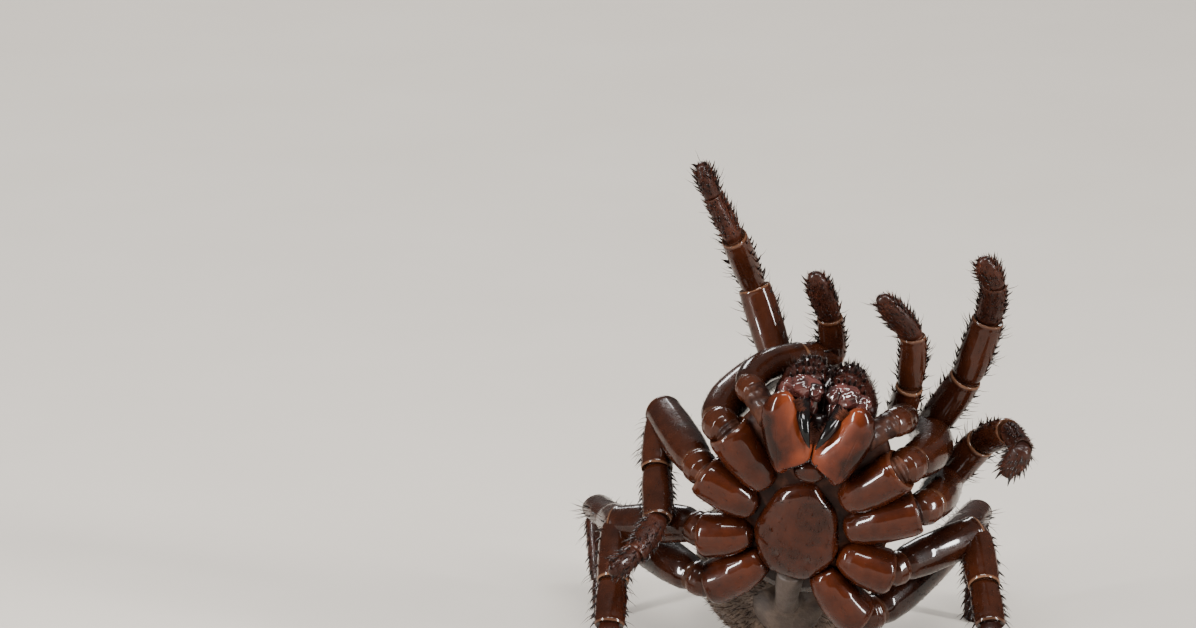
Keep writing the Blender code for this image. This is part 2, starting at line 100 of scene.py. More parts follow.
CHELICERA_MIDDLE = np.array((1.3, 4.9, 1.85))
CHELICERA_BOTTOM = 0.15
FANG_ROOT = (0.56, 7.35)
FANG_LENGTH, FANG_DEPTH, FANG_RADIUS = 1.85, 1.65, 0.48
EYE_RADIUS, EYE_CLEARANCE = 0.22, 0.12
EYE_DOMES = {"front": 1.12, "back": 0.98}
EYES = {
    "front_inner": (0.3, 4.1), "front_outer": (0.95, 4.2),
    "back_inner": (0.62, 3.55), "back_outer": (1.15, 3.65),
}
ABDOMEN_HALF = np.array((4.6, 6.3, 4.3))
ABDOMEN_MIDDLE = np.array((-0.4, 10.0, 4.25))
PEDICEL_RADIUS = 0.75
SPINNERET_OUT, SPINNERET_LENGTH = 0.75, 1.9

# Trochanter, femur, patella, tibia, metatarsus and tarsus: lengths and thickest radii, as in the solids
SEGMENTS = ("trochanter", "femur", "patella", "tibia", "metatarsus", "tarsus")
LENGTHS = {
    "palp": (0.9, 4.5, 2.4, 2.9, 0.0, 2.8),
    "leg_1": (1.0, 6.1, 4.0, 3.6, 2.6, 1.7),
    "leg_2": (1.0, 5.2, 3.4, 3.0, 2.4, 1.6),
    "leg_3": (0.9, 4.7, 3.2, 2.4, 3.0, 1.9),
    "leg_4": (1.0, 6.2, 4.2, 3.8, 3.8, 2.0),
}
RADII = {
    "palp": (0.76, 0.8, 0.74, 0.68, 0.6, 0.62),
    "leg_1": (0.95, 1.08, 0.9, 0.84, 0.66, 0.6),
    "leg_2": (0.92, 1.04, 0.86, 0.8, 0.64, 0.58),
    "leg_3": (0.88, 1.0, 0.88, 0.78, 0.6, 0.5),
    "leg_4": (0.92, 1.05, 0.92, 0.84, 0.62, 0.5),
}
COXA_RADIUS, COXA_FULLNESS = 1.08, 1.1
COXA_ROOTS = {
    "leg_1": (2.15, 2.3, -0.3), "leg_2": (2.55, 0.65, -0.3),
    "leg_3": (2.5, -1.0, -0.3), "leg_4": (1.6, -2.45, -0.3),
}
LIMB_ROOTS = {
    "palp_right": (3.35, 6.8, 0.3), "palp_left": (3.35, 6.8, 0.3),
    "leg_1_right": (4.4, 4.7, -0.2), "leg_1_left": (4.4, 4.7, -0.2),
    "leg_2_right": (5.1, 1.8, -0.1), "leg_2_left": (5.55, 2.22, 0.15),
    "leg_3_right": (4.6, -1.8, -0.1), "leg_3_left": (4.8, -1.6, -0.1),
    "leg_4_right": (3.8, -4.6, -0.1), "leg_4_left": (3.8, -4.6, -0.1),
}
PALP_NECK_ROOT, PALP_NECK_RADIUS = (2.35, 6.3, -0.75), 0.66
SLEEVE_SHARE = 0.76
FEMUR_BOW = {"palp_right": 0.45, "leg_1_right": 0.3, "leg_1_left": 0.45}

# Raised limbs: each segment's lean to +X from upright and its tilt towards -Y, in degrees
RAISED = {
    "palp_right": ((-55, -57), (78, -52), (104, -41), (-7, 31), None, (-18, 27)),
    "palp_left": ((87, -44), (175, -76), (13, 30), (2, 17), None, (-36, 20)),
    "leg_1_right": ((-62, -55), (62, -54), (-18, -16), (-20, 28), (-25, 13), (-20, 16)),
    "leg_1_left": ((78, -49), (87, -80), (29, 25), (17, 18), (5, 35), (-22, 27)),
    "leg_2_right": ((-50, -56), (-51, -66), (-172, 46), (180, 50), (-140, 44), (-118, 40)),
    "leg_2_left": ((78, -39), (100, -79), (35, 29), (46, 55), (114, 76), (-151, -19)),
}

# Standing limbs: trochanter's direction, the knee and the foot, in the world
STANDING = {
    "leg_3_right": ((-66, -50), (-8.8, 4.2, 7.8), (-9.9, -3.4, 0.0)),
    "leg_3_left": ((75, -40), (8.6, 2.6, 7.6), (9.8, -4.0, 0.0)),
    "leg_4_right": ((-75, -20), (-8.4, 7.2, 6.4), (-9.8, 13.6, 0.0)),
    "leg_4_left": ((82, -25), (8.2, 6.4, 6.4), (9.6, 13.0, 0.0)),
}
KNEE_OUTWARD = 0.6

# Spines in each row on the patella, tibia, metatarsus and tarsus
SPINES = {
    "palp": (2, 7, 0, 9), "leg_1": (3, 7, 7, 6), "leg_2": (2, 7, 7, 5),
    "leg_3": (4, 4, 4, 2), "leg_4": (1, 2, 4, 2),
}
SPINE_LENGTH, SPINE_RADIUS = 0.42, 0.06

# Where a side's two rows lie, in degrees, and how many random spines a foot's segment has for each in a row
SPINE_ROWS = (-20.0, 16.0)
FACE_SPINES = 8

BRISTLE_LENGTH, BRISTLE_RADIUS = 0.62, 0.018
BRISTLE_DENSITY, DOWN_DENSITY = 22, 380
CLAW_LENGTH, CLAW_RADIUS = 0.75, 0.13
CLAW_SPREAD = 0.45

# Starts of the random draws: front body, hind body, and the first limb, with one more for each after it
FRONT_SEED, HIND_SEED, LIMB_SEED = 7, 11, 100

# Rings of a thorn: place along it and share of its radius
HAIR_PROFILE = ((0, 1.0), (0.55, 0.75))
COAT_PROFILE = ((0, 1.0), (0.5, 0.8))
SPINE_PROFILE = ((0, 1.0), (0.3, 0.95), (0.7, 0.55))
CLAW_PROFILE = ((0, 1.0), (0.25, 0.9), (0.5, 0.7), (0.75, 0.42), (0.92, 0.18))
DIGGER_PROFILE = ((0, 1.0), (0.4, 0.92), (0.8, 0.55))
TOOTH_PROFILE = ((0, 1.0), (0.6, 0.7))
PEG_PROFILE = ((0, 1.0), (0.5, 0.95), (0.85, 0.6))

# Camera: the photograph's view, in its own frame of 1196 by 628 pixels
PHOTO_WIDTH, PHOTO_HEIGHT = 1196, 628
PIXELS_PER_MM = 20.0
CAMERA_DISTANCE = 300.0
CAMERA_ELEVATION = 14.0
STERNUM_PIXEL = (800, 524)
SENSOR_WIDTH = 36.0


def unit(vectors):
    """Vectors scaled to length 1."""
    vectors = np.asarray(vectors, float)
    return vectors / np.linalg.norm(vectors, axis=-1, keepdims=True)


def smooth_step(values, low, high):
    """0 below low and 1 above high, with a smooth S between."""
    t = np.clip((np.asarray(values, float) - low) / (high - low), 0, 1)
    return t * t * (3 - 2 * t)


def soft_floor(values, level, softness):
    """The values where they lie well above level, and level below it, with a rounded corner."""
    return level + softness * np.logaddexp(0, (values - level) / softness)


def hump(distance):
    """A smooth bump: 1 at distance 0, falling to nothing by about 2."""
    return np.exp(-np.asarray(distance, float) ** 2)


def oval(x, y, middle, half):
    """A smooth bump over an oval of the plane."""
    return hump(np.hypot((x - middle[0]) / half[0], (y - middle[1]) / half[1]))


def body_axes():
    """Rotation from the front body's axes to the world's."""
    pitch = radians(PITCH)
    upright = Matrix(((-1, 0, 0), (0, -cos(pitch), sin(pitch)), (0, sin(pitch), cos(pitch))))
    turn = Euler((0, 0, radians(TURN))).to_matrix() @ Euler((0, radians(LEAN), 0)).to_matrix()
    return np.array(turn @ upright)


BODY = body_axes()
BELLY_WAY = BODY @ -UP


def to_world(points):
    """Points in the front body's axes as points in the world."""
    return np.asarray(points, float) @ BODY.T + STERNUM_AT


def mirrored(points, side):
    """Points given for the animal's right side, on the side asked for."""
    return np.asarray(points, float) * ((1, 1, 1) if side == "right" else (-1, 1, 1))


def direction(lean, towards):
    """Unit vector that leans to +X from upright and tilts towards -Y."""
    lean, towards = radians(lean), radians(towards)
    return np.array((sin(lean) * cos(towards), -sin(towards), cos(lean) * cos(towards)))


def carapace_height(x, y):
    """Height of the plain carapace over the sternum's middle: a steep dome, low behind and high in front."""
    reach = np.where(y > 0, CARAPACE_REACH, CARAPACE_BACK)
    half = CARAPACE_HALF_WIDTH - HEAD_NARROWING * smooth_step(y, 0.0, 3.0)
    rise = THORAX_RISE + (HEAD_RISE - THORAX_RISE) * smooth_step(y, -0.6, 2.6)
    inside = np.clip(1 - (x / half) ** 2 - (y / reach) ** 2, 0, 1)
    return CARAPACE_MARGIN + rise * inside**0.3


def eye_middle(row, side):
    """Where an eye of the solids has its middle, in the world."""
    x, y = EYES[row]
    height = carapace_height(x, y) + EYE_RADIUS + EYE_CLEARANCE
    return to_world(mirrored((x, y, height), side))


def frame_offset():
    """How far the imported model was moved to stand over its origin, read from where one eye lies in it."""
    low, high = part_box("eye_front_inner_right")
    middle = (np.array(low) + np.array(high)) / 2 / MM
    return middle - eye_middle("front_inner", "right")


OFFSET = frame_offset()


class Skin:
    """A closed surface in the making: points, four- and three-cornered faces, and two masks at each point.

    tone runs from the dark shell colour, 0, to the warm one, 1. rim is 1 on the pale edges at joints: on the
    limbs partly paler shell and partly a painted highlight on the joint's edge. uv is each point's place on
    the unwrap, which only hair and spines have.
    """

    def __init__(self, points, quads, triangles, tone=0.0, rim=0.0, uv=None):
        self.points = points
        self.quads = quads
        self.triangles = triangles
        self.tone = np.broadcast_to(np.asarray(tone, float), len(points))
        self.rim = np.broadcast_to(np.asarray(rim, float), len(points))
        self.uv = np.zeros((len(points), 2)) if uv is None else uv


def joined(skins):
    """Several skins as one."""
    starts = np.cumsum([0] + [len(skin.points) for skin in skins[:-1]])
    return Skin(
        np.concatenate([skin.points for skin in skins]),
        np.concatenate([skin.quads + start for skin, start in zip(skins, starts)]),
        np.concatenate([skin.triangles + start for skin, start in zip(skins, starts)]),
        np.concatenate([skin.tone for skin in skins]),
        np.concatenate([skin.rim for skin in skins]),
        np.concatenate([skin.uv for skin in skins]),
    )


def placed(skin, side="right"):
    """A skin in the front body's axes for the animal's right, moved to the world and the side asked for."""
    skin.points = to_world(mirrored(skin.points, side))
    if side == "left":
        skin.quads, skin.triangles = skin.quads[:, ::-1], skin.triangles[:, ::-1]
    return skin


def on_floor(skin):
    """A skin with nothing below the floor."""
    skin.points[:, 2] = np.maximum(skin.points[:, 2], 0.0)
    return skin


def closed_skin(rings, tone=0.0, rim=0.0):
    """A skin over rings of points, an array (rings, points in a ring, 3), with a fan closing each end.

    tone and rim are single values or arrays (rings, points in a ring). Faces are turned to point outwards,
    which the sign of the enclosed volume tells.
    """
    count, around = rings.shape[:2]
    number = np.arange(count * around).reshape(count, around)
    after = np.roll(number, -1, axis=1)
    quads = np.stack([number[:-1], after[:-1], after[1:], number[1:]], -1).reshape(-1, 4)
    first, last = np.full(around, count * around), np.full(around, count * around + 1)
    fans = np.concatenate([
        np.stack([first, after[0], number[0]], -1),
        np.stack([last, number[-1], after[-1]], -1),
    ])
    points = np.concatenate([rings.reshape(-1, 3), rings[[0, -1]].mean(1)])
    masks = []
    for mask in (tone, rim):
        mask = np.broadcast_to(np.asarray(mask, float), (count, around))
        masks.append(np.concatenate([mask.ravel(), mask[[0, -1]].mean(1)]))
    halves = np.concatenate([quads[:, :3], quads[:, [0, 2, 3]], fans])
    corners = points[halves] - points.mean(0)
    volume = np.einsum("ij,ij->i", corners[:, 0], np.cross(corners[:, 1], corners[:, 2])).sum()
    if volume < 0:
        quads, fans = quads[:, ::-1], fans[:, ::-1]
    return Skin(points, quads, fans, *masks)


def around_angles(count):
    """Angles evenly round a circle."""
    return np.linspace(0, 2 * pi, count, endpoint=False)


def ball_rings(count, around):
    """Unit sphere as rings from -y to +y: arrays x, y and z."""
    turn = np.linspace(0.02, pi - 0.02, count)[:, None]
    angle = around_angles(around)
    return np.sin(turn) * np.cos(angle), -np.cos(turn) * np.ones(around), np.sin(turn) * np.sin(angle)


def ball(middle, half, count, around, tone=0.0):
    """An ellipsoid as a skin."""
    return closed_skin(np.asarray(middle) + np.stack(ball_rings(count, around), -1) * half, tone)


def bent_path(first, middle, last, count):
    """A quadratic path from first to last that leans towards middle: t, and points and directions at t."""
    t = np.linspace(0, 1, count)[:, None]
    path = first * (1 - t) ** 2 + 2 * middle * t * (1 - t) + last * t**2
    return t, path, unit(np.gradient(path, axis=0))


def tube(path, along, across, sizes, around, tone=0.0, flat=(1.0, 1.0)):
    """A skin round a path: ellipses whose first half axis lies across, of sizes (rings, angles or 1, 1)."""
    angle = around_angles(around)[:, None]
    front = np.cross(across, along)
    out = across[:, None] * np.cos(angle) * flat[0] + front[:, None] * np.sin(angle) * flat[1]
    return closed_skin(path[:, None] + out * sizes, tone)


# A thorn's patch on the unwrap: half its width, and where its last ring lies
HALF_PATCH, PATCH_SHOULDER = 0.0015, 0.0008


def thorns(roots, ways, bends, lengths, radii, profile=HAIR_PROFILE, sides=3, uv=None):
    """Tapered, bent thorns as one skin, from arrays with a row for each.

    A thorn's middle line is root + length * (way * t + bend * t squared). profile gives the rings as pairs of
    t and share of the radius, and the tip at t 1 is a point. Where uv gives their places on an unwrap, each
    takes a small patch there.
    """
    count, rings = len(roots), len(profile)
    place, share = np.array(profile, float).T
    lengths, radii = np.broadcast_to(lengths, count), np.broadcast_to(radii, count)
    ways = unit(ways)
    first = unit(np.cross(ways, np.where(np.abs(ways[:, 2:]) < 0.8, UP, SIDEWAYS)))
    second = np.cross(ways, first)
    angle = around_angles(sides)[:, None]
    circle = first[:, None] * np.cos(angle) + second[:, None] * np.sin(angle)
    t = np.append(place, 1.0)[:, None]
    middle = roots[:, None] + lengths[:, None, None] * (ways[:, None] * t + bends[:, None] * t**2)
    rims = middle[:, :-1, None] + circle[:, None] * (radii[:, None] * share)[:, :, None, None]
    points = np.concatenate([rims.reshape(count, -1, 3), middle[:, -1:]], 1)
    each = rings * sides + 1
    base = (np.arange(count) * each)[:, None, None]
    ring = np.arange(rings * sides).reshape(rings, sides)
    after = np.roll(ring, -1, axis=1)
    quads = np.stack([ring[:-1], after[:-1], after[1:], ring[1:]], -1).reshape(-1, 4)
    tip = np.stack([ring[-1], after[-1], np.full(sides, each - 1)], -1)
    floor = np.stack([np.zeros(sides - 2, int), ring[0, 2:], ring[0, 1:-1]], -1)
    triangles = np.concatenate([tip, floor])
    if uv is not None:
        patch = np.zeros((each, 2))
        patch[:-1, 0] = np.tile(np.linspace(-HALF_PATCH, HALF_PATCH, sides), rings)
        patch[:-1, 1] = np.repeat(np.linspace(-HALF_PATCH, PATCH_SHOULDER, rings), sides)
        patch[-1, 1] = HALF_PATCH
        uv = (np.clip(uv, 0.005, 0.995)[:, None] + patch).reshape(-1, 2)
    return Skin(
        points.reshape(-1, 3), (quads + base).reshape(-1, 4), (triangles + base).reshape(-1, 3), uv=uv,
    )


def body_thorns(side, roots, ways, bend, lengths, radii, profile=HAIR_PROFILE, sides=3, uv=None):
    """Thorns in the front body's axes for the animal's right, moved to the world and the side asked for."""
    ways = mirrored(ways, side) @ BODY.T
    bends = mirrored(np.broadcast_to(bend, roots.shape), side) @ BODY.T
    return thorns(to_world(mirrored(roots, side)), ways, bends, lengths, radii, profile, sides, uv)


def body_hair(chance, side, roots, out, lean, spread, lengths, bend, radii, place):
    """Hair on the front body that leans from out by lean, each with a random way and length."""
    ways = out + np.array(lean) + chance.normal(0, spread, roots.shape)
    sizes = chance.uniform(*lengths, len(roots))
    return body_thorns(side, roots, ways, bend, sizes, radii, uv=place)


def add_piece(name, skin, look, replaced=()):
    """A finished object on the frame from a skin in world millimetres. replaced names its solids."""
    mesh = bpy.data.meshes.new(name)
    corners = np.concatenate([skin.quads.ravel(), skin.triangles.ravel()]).astype(np.int32)
    sizes = np.concatenate([np.full(len(skin.quads), 4), np.full(len(skin.triangles), 3)])
    starts = np.concatenate([[0], np.cumsum(sizes)[:-1]]).astype(np.int32)
    mesh.vertices.add(len(skin.points))
    mesh.vertices.foreach_set("co", ((skin.points + OFFSET) * MM).astype(np.float32).ravel())
    mesh.loops.add(len(corners))
    mesh.loops.foreach_set("vertex_index", corners)
    mesh.polygons.add(len(sizes))
    mesh.polygons.foreach_set("loop_start", starts)
    mesh.update(calc_edges=True)
    mesh.polygons.foreach_set("use_smooth", np.ones(len(sizes), bool))
    for key, values in (("tone", skin.tone), ("rim", skin.rim)):
        mesh.attributes.new(key, "FLOAT", "POINT").data.foreach_set("value", values.astype(np.float32))
    if skin.uv.any():
        bake = mesh.uv_layers.new(name="OFBake")
        bake.uv.foreach_set("vector", skin.uv[corners].astype(np.float32).ravel())
    mesh.materials.append(look)
    piece = bpy.data.objects.new(name, mesh)
    bpy.context.scene.collection.objects.link(piece)
    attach(piece, "root")
    if replaced:
        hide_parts(*replaced)


class Nodes:
    """Makes, fills and links the nodes of one material, world or node group."""

    def __init__(self, tree):
        self.tree = tree

    def fill(self, node, inputs):
        """Give a node its inputs, each a value or a socket to link."""
        for key, value in inputs.items():
            if isinstance(value, bpy.types.NodeSocket):
                self.tree.links.new(value, node.inputs[key])
            else:
                node.inputs[key].default_value = value
        return node

    def new(self, kind, inputs=None, **settings):
        """A new node with its settings and inputs."""
        node = self.tree.nodes.new(kind)
        for key, value in settings.items():
            setattr(node, key, value)
        return self.fill(node, inputs or {})

    def math(self, operation, first, second, clamp=False):
        """One arithmetic node, clamped to 0 and 1 if asked."""
        node = self.new("ShaderNodeMath", {0: first, 1: second}, operation=operation, use_clamp=clamp)
        return node.outputs[0]

    def times(self, first, second):
        return self.math("MULTIPLY", first, second)

    def plus(self, first, second, clamp=False):
        return self.math("ADD", first, second, clamp)

    def noise(self, place, scale, detail):
        """Soft noise of this scale at a place."""
        inputs = {"Vector": place, "Scale": scale, "Detail": detail, "Roughness": 0.55}
        return self.new("ShaderNodeTexNoise", inputs).outputs["Fac"]

    def mix(self, share, first, second):
        """A blend of two colours, each of them three values or a socket."""
        ends = [end if isinstance(end, bpy.types.NodeSocket) else (*end, 1.0) for end in (first, second)]
        return self.new("ShaderNodeMix", {0: share, 6: ends[0], 7: ends[1]}, data_type="RGBA").outputs[2]

    def steps(self, value, low, high, start=0.0, end=1.0):
        """The value mapped from low and high to start and end."""
        return self.new("ShaderNodeMapRange", {0: value, 1: low, 2: high, 3: start, 4: end}).outputs[0]


COAT_ROUGHNESS = 0.035
BUMP_DEPTH = 0.00003
# Pale colour of the limbs' joint rims: partly paler shell, partly a painted highlight on the joint's edge
PALE_RIM = (0.115, 0.056, 0.030)
ORANGE_EDGE = (0.100, 0.0205, 0.0070)


def shell_group():
    """Shared effect, in Object coordinates: a spider shell's cloudy colour mask, roughness and height.

    Clouds are two noises, the height is fine granules, shallow pits where hairs stand and long soft dents.
    """
    tree = bpy.data.node_groups.new("spider_shell_surface", "ShaderNodeTree")
    for name in ("Clouds", "Granules", "Pits", "Dents", "Base Roughness"):
        tree.interface.new_socket(name, in_out="INPUT", socket_type="NodeSocketFloat")
    for name in ("Shade", "Roughness", "Height"):
        tree.interface.new_socket(name, in_out="OUTPUT", socket_type="NodeSocketFloat")
    make = Nodes(tree)
    given = make.new("NodeGroupInput").outputs
    place = make.new("ShaderNodeTexCoord").outputs["Object"]
    clouds = make.times(make.noise(place, 420.0, 3.0), 0.6)
    blotches = make.times(make.noise(place, 1700.0, 4.0), 0.4)
    centred = make.math("SUBTRACT", make.plus(clouds, blotches), 0.5)
    shade = make.plus(make.times(centred, make.times(given["Clouds"], 4.0)), 0.5, True)
    granules = make.noise(place, 9000.0, 3.0)
    cells = make.new("ShaderNodeTexVoronoi", {"Vector": place, "Scale": 3600.0}).outputs["Distance"]
    pits = make.steps(cells, 0.0, 0.16)
    dents = make.noise(place, 900.0, 2.0)
    height = make.plus(make.times(granules, given["Granules"]), make.times(pits, given["Pits"]))
    height = make.plus(height, make.times(dents, make.times(given["Dents"], 6.0)))
    worn = make.steps(make.noise(place, 2600.0, 5.0), 0.35, 0.75, -0.04, 0.12)
    rough = make.plus(given["Base Roughness"], worn, True)
    make.new("NodeGroupOutput", {"Shade": shade, "Roughness": rough, "Height": height})
    return tree


SHELL_GROUP = shell_group()


def shell_look(
    name, dark, warm, roughness, coat=0.0, pale=PALE_RIM, clouds=1.0, granules=0.4, pits=0.5, dents=0.3,
    bump=0.5, specular=0.35,
):
    """A shell, skin or hair: dark to warm by the tone mask and clouds, pale on the rims, under a coat. On the
    limbs the pale rims are partly paler shell and partly a painted highlight at the joints.
    """
    look = bpy.data.materials.new(name)
    look.use_nodes = True
    make = Nodes(look.node_tree)
    surface = make.new("ShaderNodeGroup", {
        "Clouds": clouds, "Granules": granules, "Pits": pits, "Dents": dents, "Base Roughness": roughness,
    }, node_tree=SHELL_GROUP).outputs
    tone = make.new("ShaderNodeAttribute", attribute_name="tone").outputs["Fac"]
    rim = make.new("ShaderNodeAttribute", attribute_name="rim").outputs["Fac"]
    shade = make.math("SUBTRACT", surface["Shade"], 0.5)
    warmth = make.plus(tone, make.times(shade, 0.7), True)
    patchy = make.math("MULTIPLY", rim, make.plus(surface["Shade"], 0.4), True)
    relief = {"Height": surface["Height"], "Strength": bump, "Distance": BUMP_DEPTH}
    make.fill(look.node_tree.nodes["Principled BSDF"], {
        "Base Color": make.mix(patchy, make.mix(warmth, dark, warm), pale),
        "Roughness": surface["Roughness"],
        "Normal": make.new("ShaderNodeBump", relief).outputs["Normal"],
        "Coat Weight": coat,
        "Coat Roughness": COAT_ROUGHNESS,
        "Specular IOR Level": specular,
    })
    return look


LIMB_SHELL = shell_look(
    "limb_shell", (0.0060, 0.0017, 0.0009), (0.031, 0.0076, 0.0028), roughness=0.25, coat=0.42,
    clouds=0.5, granules=0.3, pits=0.3, bump=0.35, specular=0.05,
)
OUTER_SHELL = shell_look(
    "outer_limb_shell", (0.0070, 0.0019, 0.0010), (0.033, 0.0078, 0.0034), roughness=0.36, coat=0.12,
    clouds=0.9, granules=0.6, pits=0.9, bump=1.0, specular=0.12,
)
SMOOTH = {"clouds": 0.8, "granules": 0.2, "pits": 0.15, "dents": 0.25, "bump": 0.35, "specular": 0.04}
BELLY_SHELL = shell_look(
    "belly_shell", (0.0070, 0.0018, 0.0009), (0.034, 0.0070, 0.0023), roughness=0.22, coat=0.40, **SMOOTH,
)
PALP_BASE_SHELL = shell_look(
    "palp_base_shell", (0.008, 0.0020, 0.0009), (0.066, 0.0120, 0.0040), roughness=0.22, coat=0.36,
    pale=ORANGE_EDGE, **SMOOTH,
)
BACK_SHELL = shell_look(
    "back_shell", (0.008, 0.003, 0.002), (0.045, 0.014, 0.008), roughness=0.24, coat=0.3,
    clouds=0.6, granules=0.6,
)
JAW_SHELL = shell_look(
    "jaw_shell", (0.005, 0.0019, 0.0015), (0.034, 0.008, 0.005), roughness=0.18, coat=0.2,
    clouds=0.7, granules=0.3, dents=0.9, specular=0.15,
)
WET_SKIN = shell_look(
    "wet_skin", (0.005, 0.0018, 0.0016), (0.075, 0.022, 0.018), roughness=0.1, coat=0.5,
    granules=0.2, pits=0.0, dents=0.6, bump=0.7,
)
FANG_SHELL = shell_look(
    "fang_shell", (0.002, 0.002, 0.002), (0.05, 0.009, 0.005), roughness=0.14, coat=0.2,
    clouds=0.2, granules=0.1, pits=0.0, dents=0.1, bump=0.3, specular=0.12,
)
SPINE_SHELL = shell_look(
    "spine_shell", (0.006, 0.003, 0.0025), (0.05, 0.012, 0.006), roughness=0.3, coat=0.3,
    clouds=0.3, granules=0.2, pits=0.0, specular=0.2,
)
JOINT_SKIN = shell_look(
    "joint_skin", (0.010, 0.0032, 0.0020), (0.095, 0.036, 0.020), roughness=0.4, coat=0.05,
    clouds=0.9, granules=0.8, pits=0.0, dents=0.8, specular=0.07,
)
BODY_SKIN = shell_look(
    "body_skin", (0.035, 0.023, 0.017), (0.13, 0.088, 0.062), roughness=0.55,
    clouds=0.9, granules=1.0, pits=0.6, dents=0.8, bump=0.9,
)
DARK_HAIR = shell_look(
    "dark_hair", (0.010, 0.005, 0.0035), (0.07, 0.03, 0.018), roughness=0.55, specular=0.15,
)
BROWN_HAIR = shell_look("brown_hair", (0.055, 0.032, 0.020), (0.19, 0.125, 0.080), roughness=0.5)
RED_HAIR = shell_look(
    "red_hair", (0.040, 0.010, 0.004), (0.16, 0.042, 0.017), roughness=0.55, specular=0.15,
)
EYE_GLASS = shell_look(
    "eye_glass", (0.004, 0.003, 0.003), (0.03, 0.018, 0.010), roughness=0.04, coat=1.0,
    clouds=0.3, granules=0.0, pits=0.0, dents=0.0,
)


def softened(knots):
    """A thickness profile as a fine table: straight lines between the knots, smoothed with a short window."""
    t = np.linspace(-0.2, 1.2, 281)
    window = np.hanning(17)
    plain = np.interp(t, *np.array(knots).T)
    return t, np.convolve(np.pad(plain, 8, "edge"), window / window.sum(), "valid")


PROFILES = {
    "coxa": softened(((0, 0.66), (0.15, 0.82), (0.45, 0.97), (0.9, 1.0), (1, 0.9))),
    "trochanter": softened(((0, 0.74), (0.2, 0.92), (0.6, 1.0), (0.85, 0.94), (1, 0.88))),
    "femur": softened(((0, 0.74), (0.08, 0.9), (0.3, 1.0), (0.7, 0.99), (0.92, 0.93), (1, 0.9))),
    "patella": softened(((0, 0.74), (0.1, 0.92), (0.4, 1.0), (0.8, 0.98), (0.95, 0.93), (1, 0.9))),
    "tibia": softened(((0, 0.76), (0.08, 0.9), (0.4, 1.0), (0.85, 0.97), (0.96, 0.93), (1, 0.9))),
    "metatarsus": softened(((0, 0.78), (0.1, 0.95), (0.4, 1.0), (0.8, 0.92), (1, 0.84))),
    "tarsus": softened(((0, 0.78), (0.1, 0.96), (0.5, 1.0), (0.8, 0.92), (0.93, 0.76), (1, 0.6))),
}
TONES = {
    "coxa": 0.62, "trochanter": 0.7, "femur": 0.34, "patella": 0.5, "tibia": 0.46, "metatarsus": 0.3,
    "tarsus": 0.26,
}

# How pale a segment's rim is, how wide, and how pale the edge of its root is. These pale bands are partly
# paler shell and partly a painted highlight where a joint's edge catches the light
RIMS = {
    "coxa": 0.1, "trochanter": 0.1, "femur": 0.6, "patella": 0.6, "tibia": 0.3, "metatarsus": 0.08,
    "tarsus": 0.0,
}
RIM_WIDTH = 0.08
ROOT_RIMS = {"femur": 0.18, "patella": 0.18}

# How wide and how deep a segment is beside its thickness: the outer ones are flattened
FLATNESS = {"tibia": (1.04, 0.86), "metatarsus": (1.04, 0.82), "tarsus": (1.04, 0.80)}
EDGE_ON = {"tibia": (0.84, 1.0), "metatarsus": (0.78, 1.0), "tarsus": (0.78, 1.0)}
SEGMENT_AROUND = 40
SEGMENT_ALONG = 40

# Rings past a segment's ends: place past the end in radii, and share of the thickness
ROOT_RINGS = np.array(((-0.3, 0.3), (-0.24, 0.62), (-0.13, 0.88)))
ROLLED_RIM = np.array(((0.03, 0.998), (0.05, 0.975), (0.04, 0.93), (-0.02, 0.88), (-0.1, 0.6)))
DOME = np.linspace(0, pi / 2, 8)[1:-1]
DOMED_TIP = np.stack([0.5 * np.sin(DOME), np.cos(DOME)], -1)


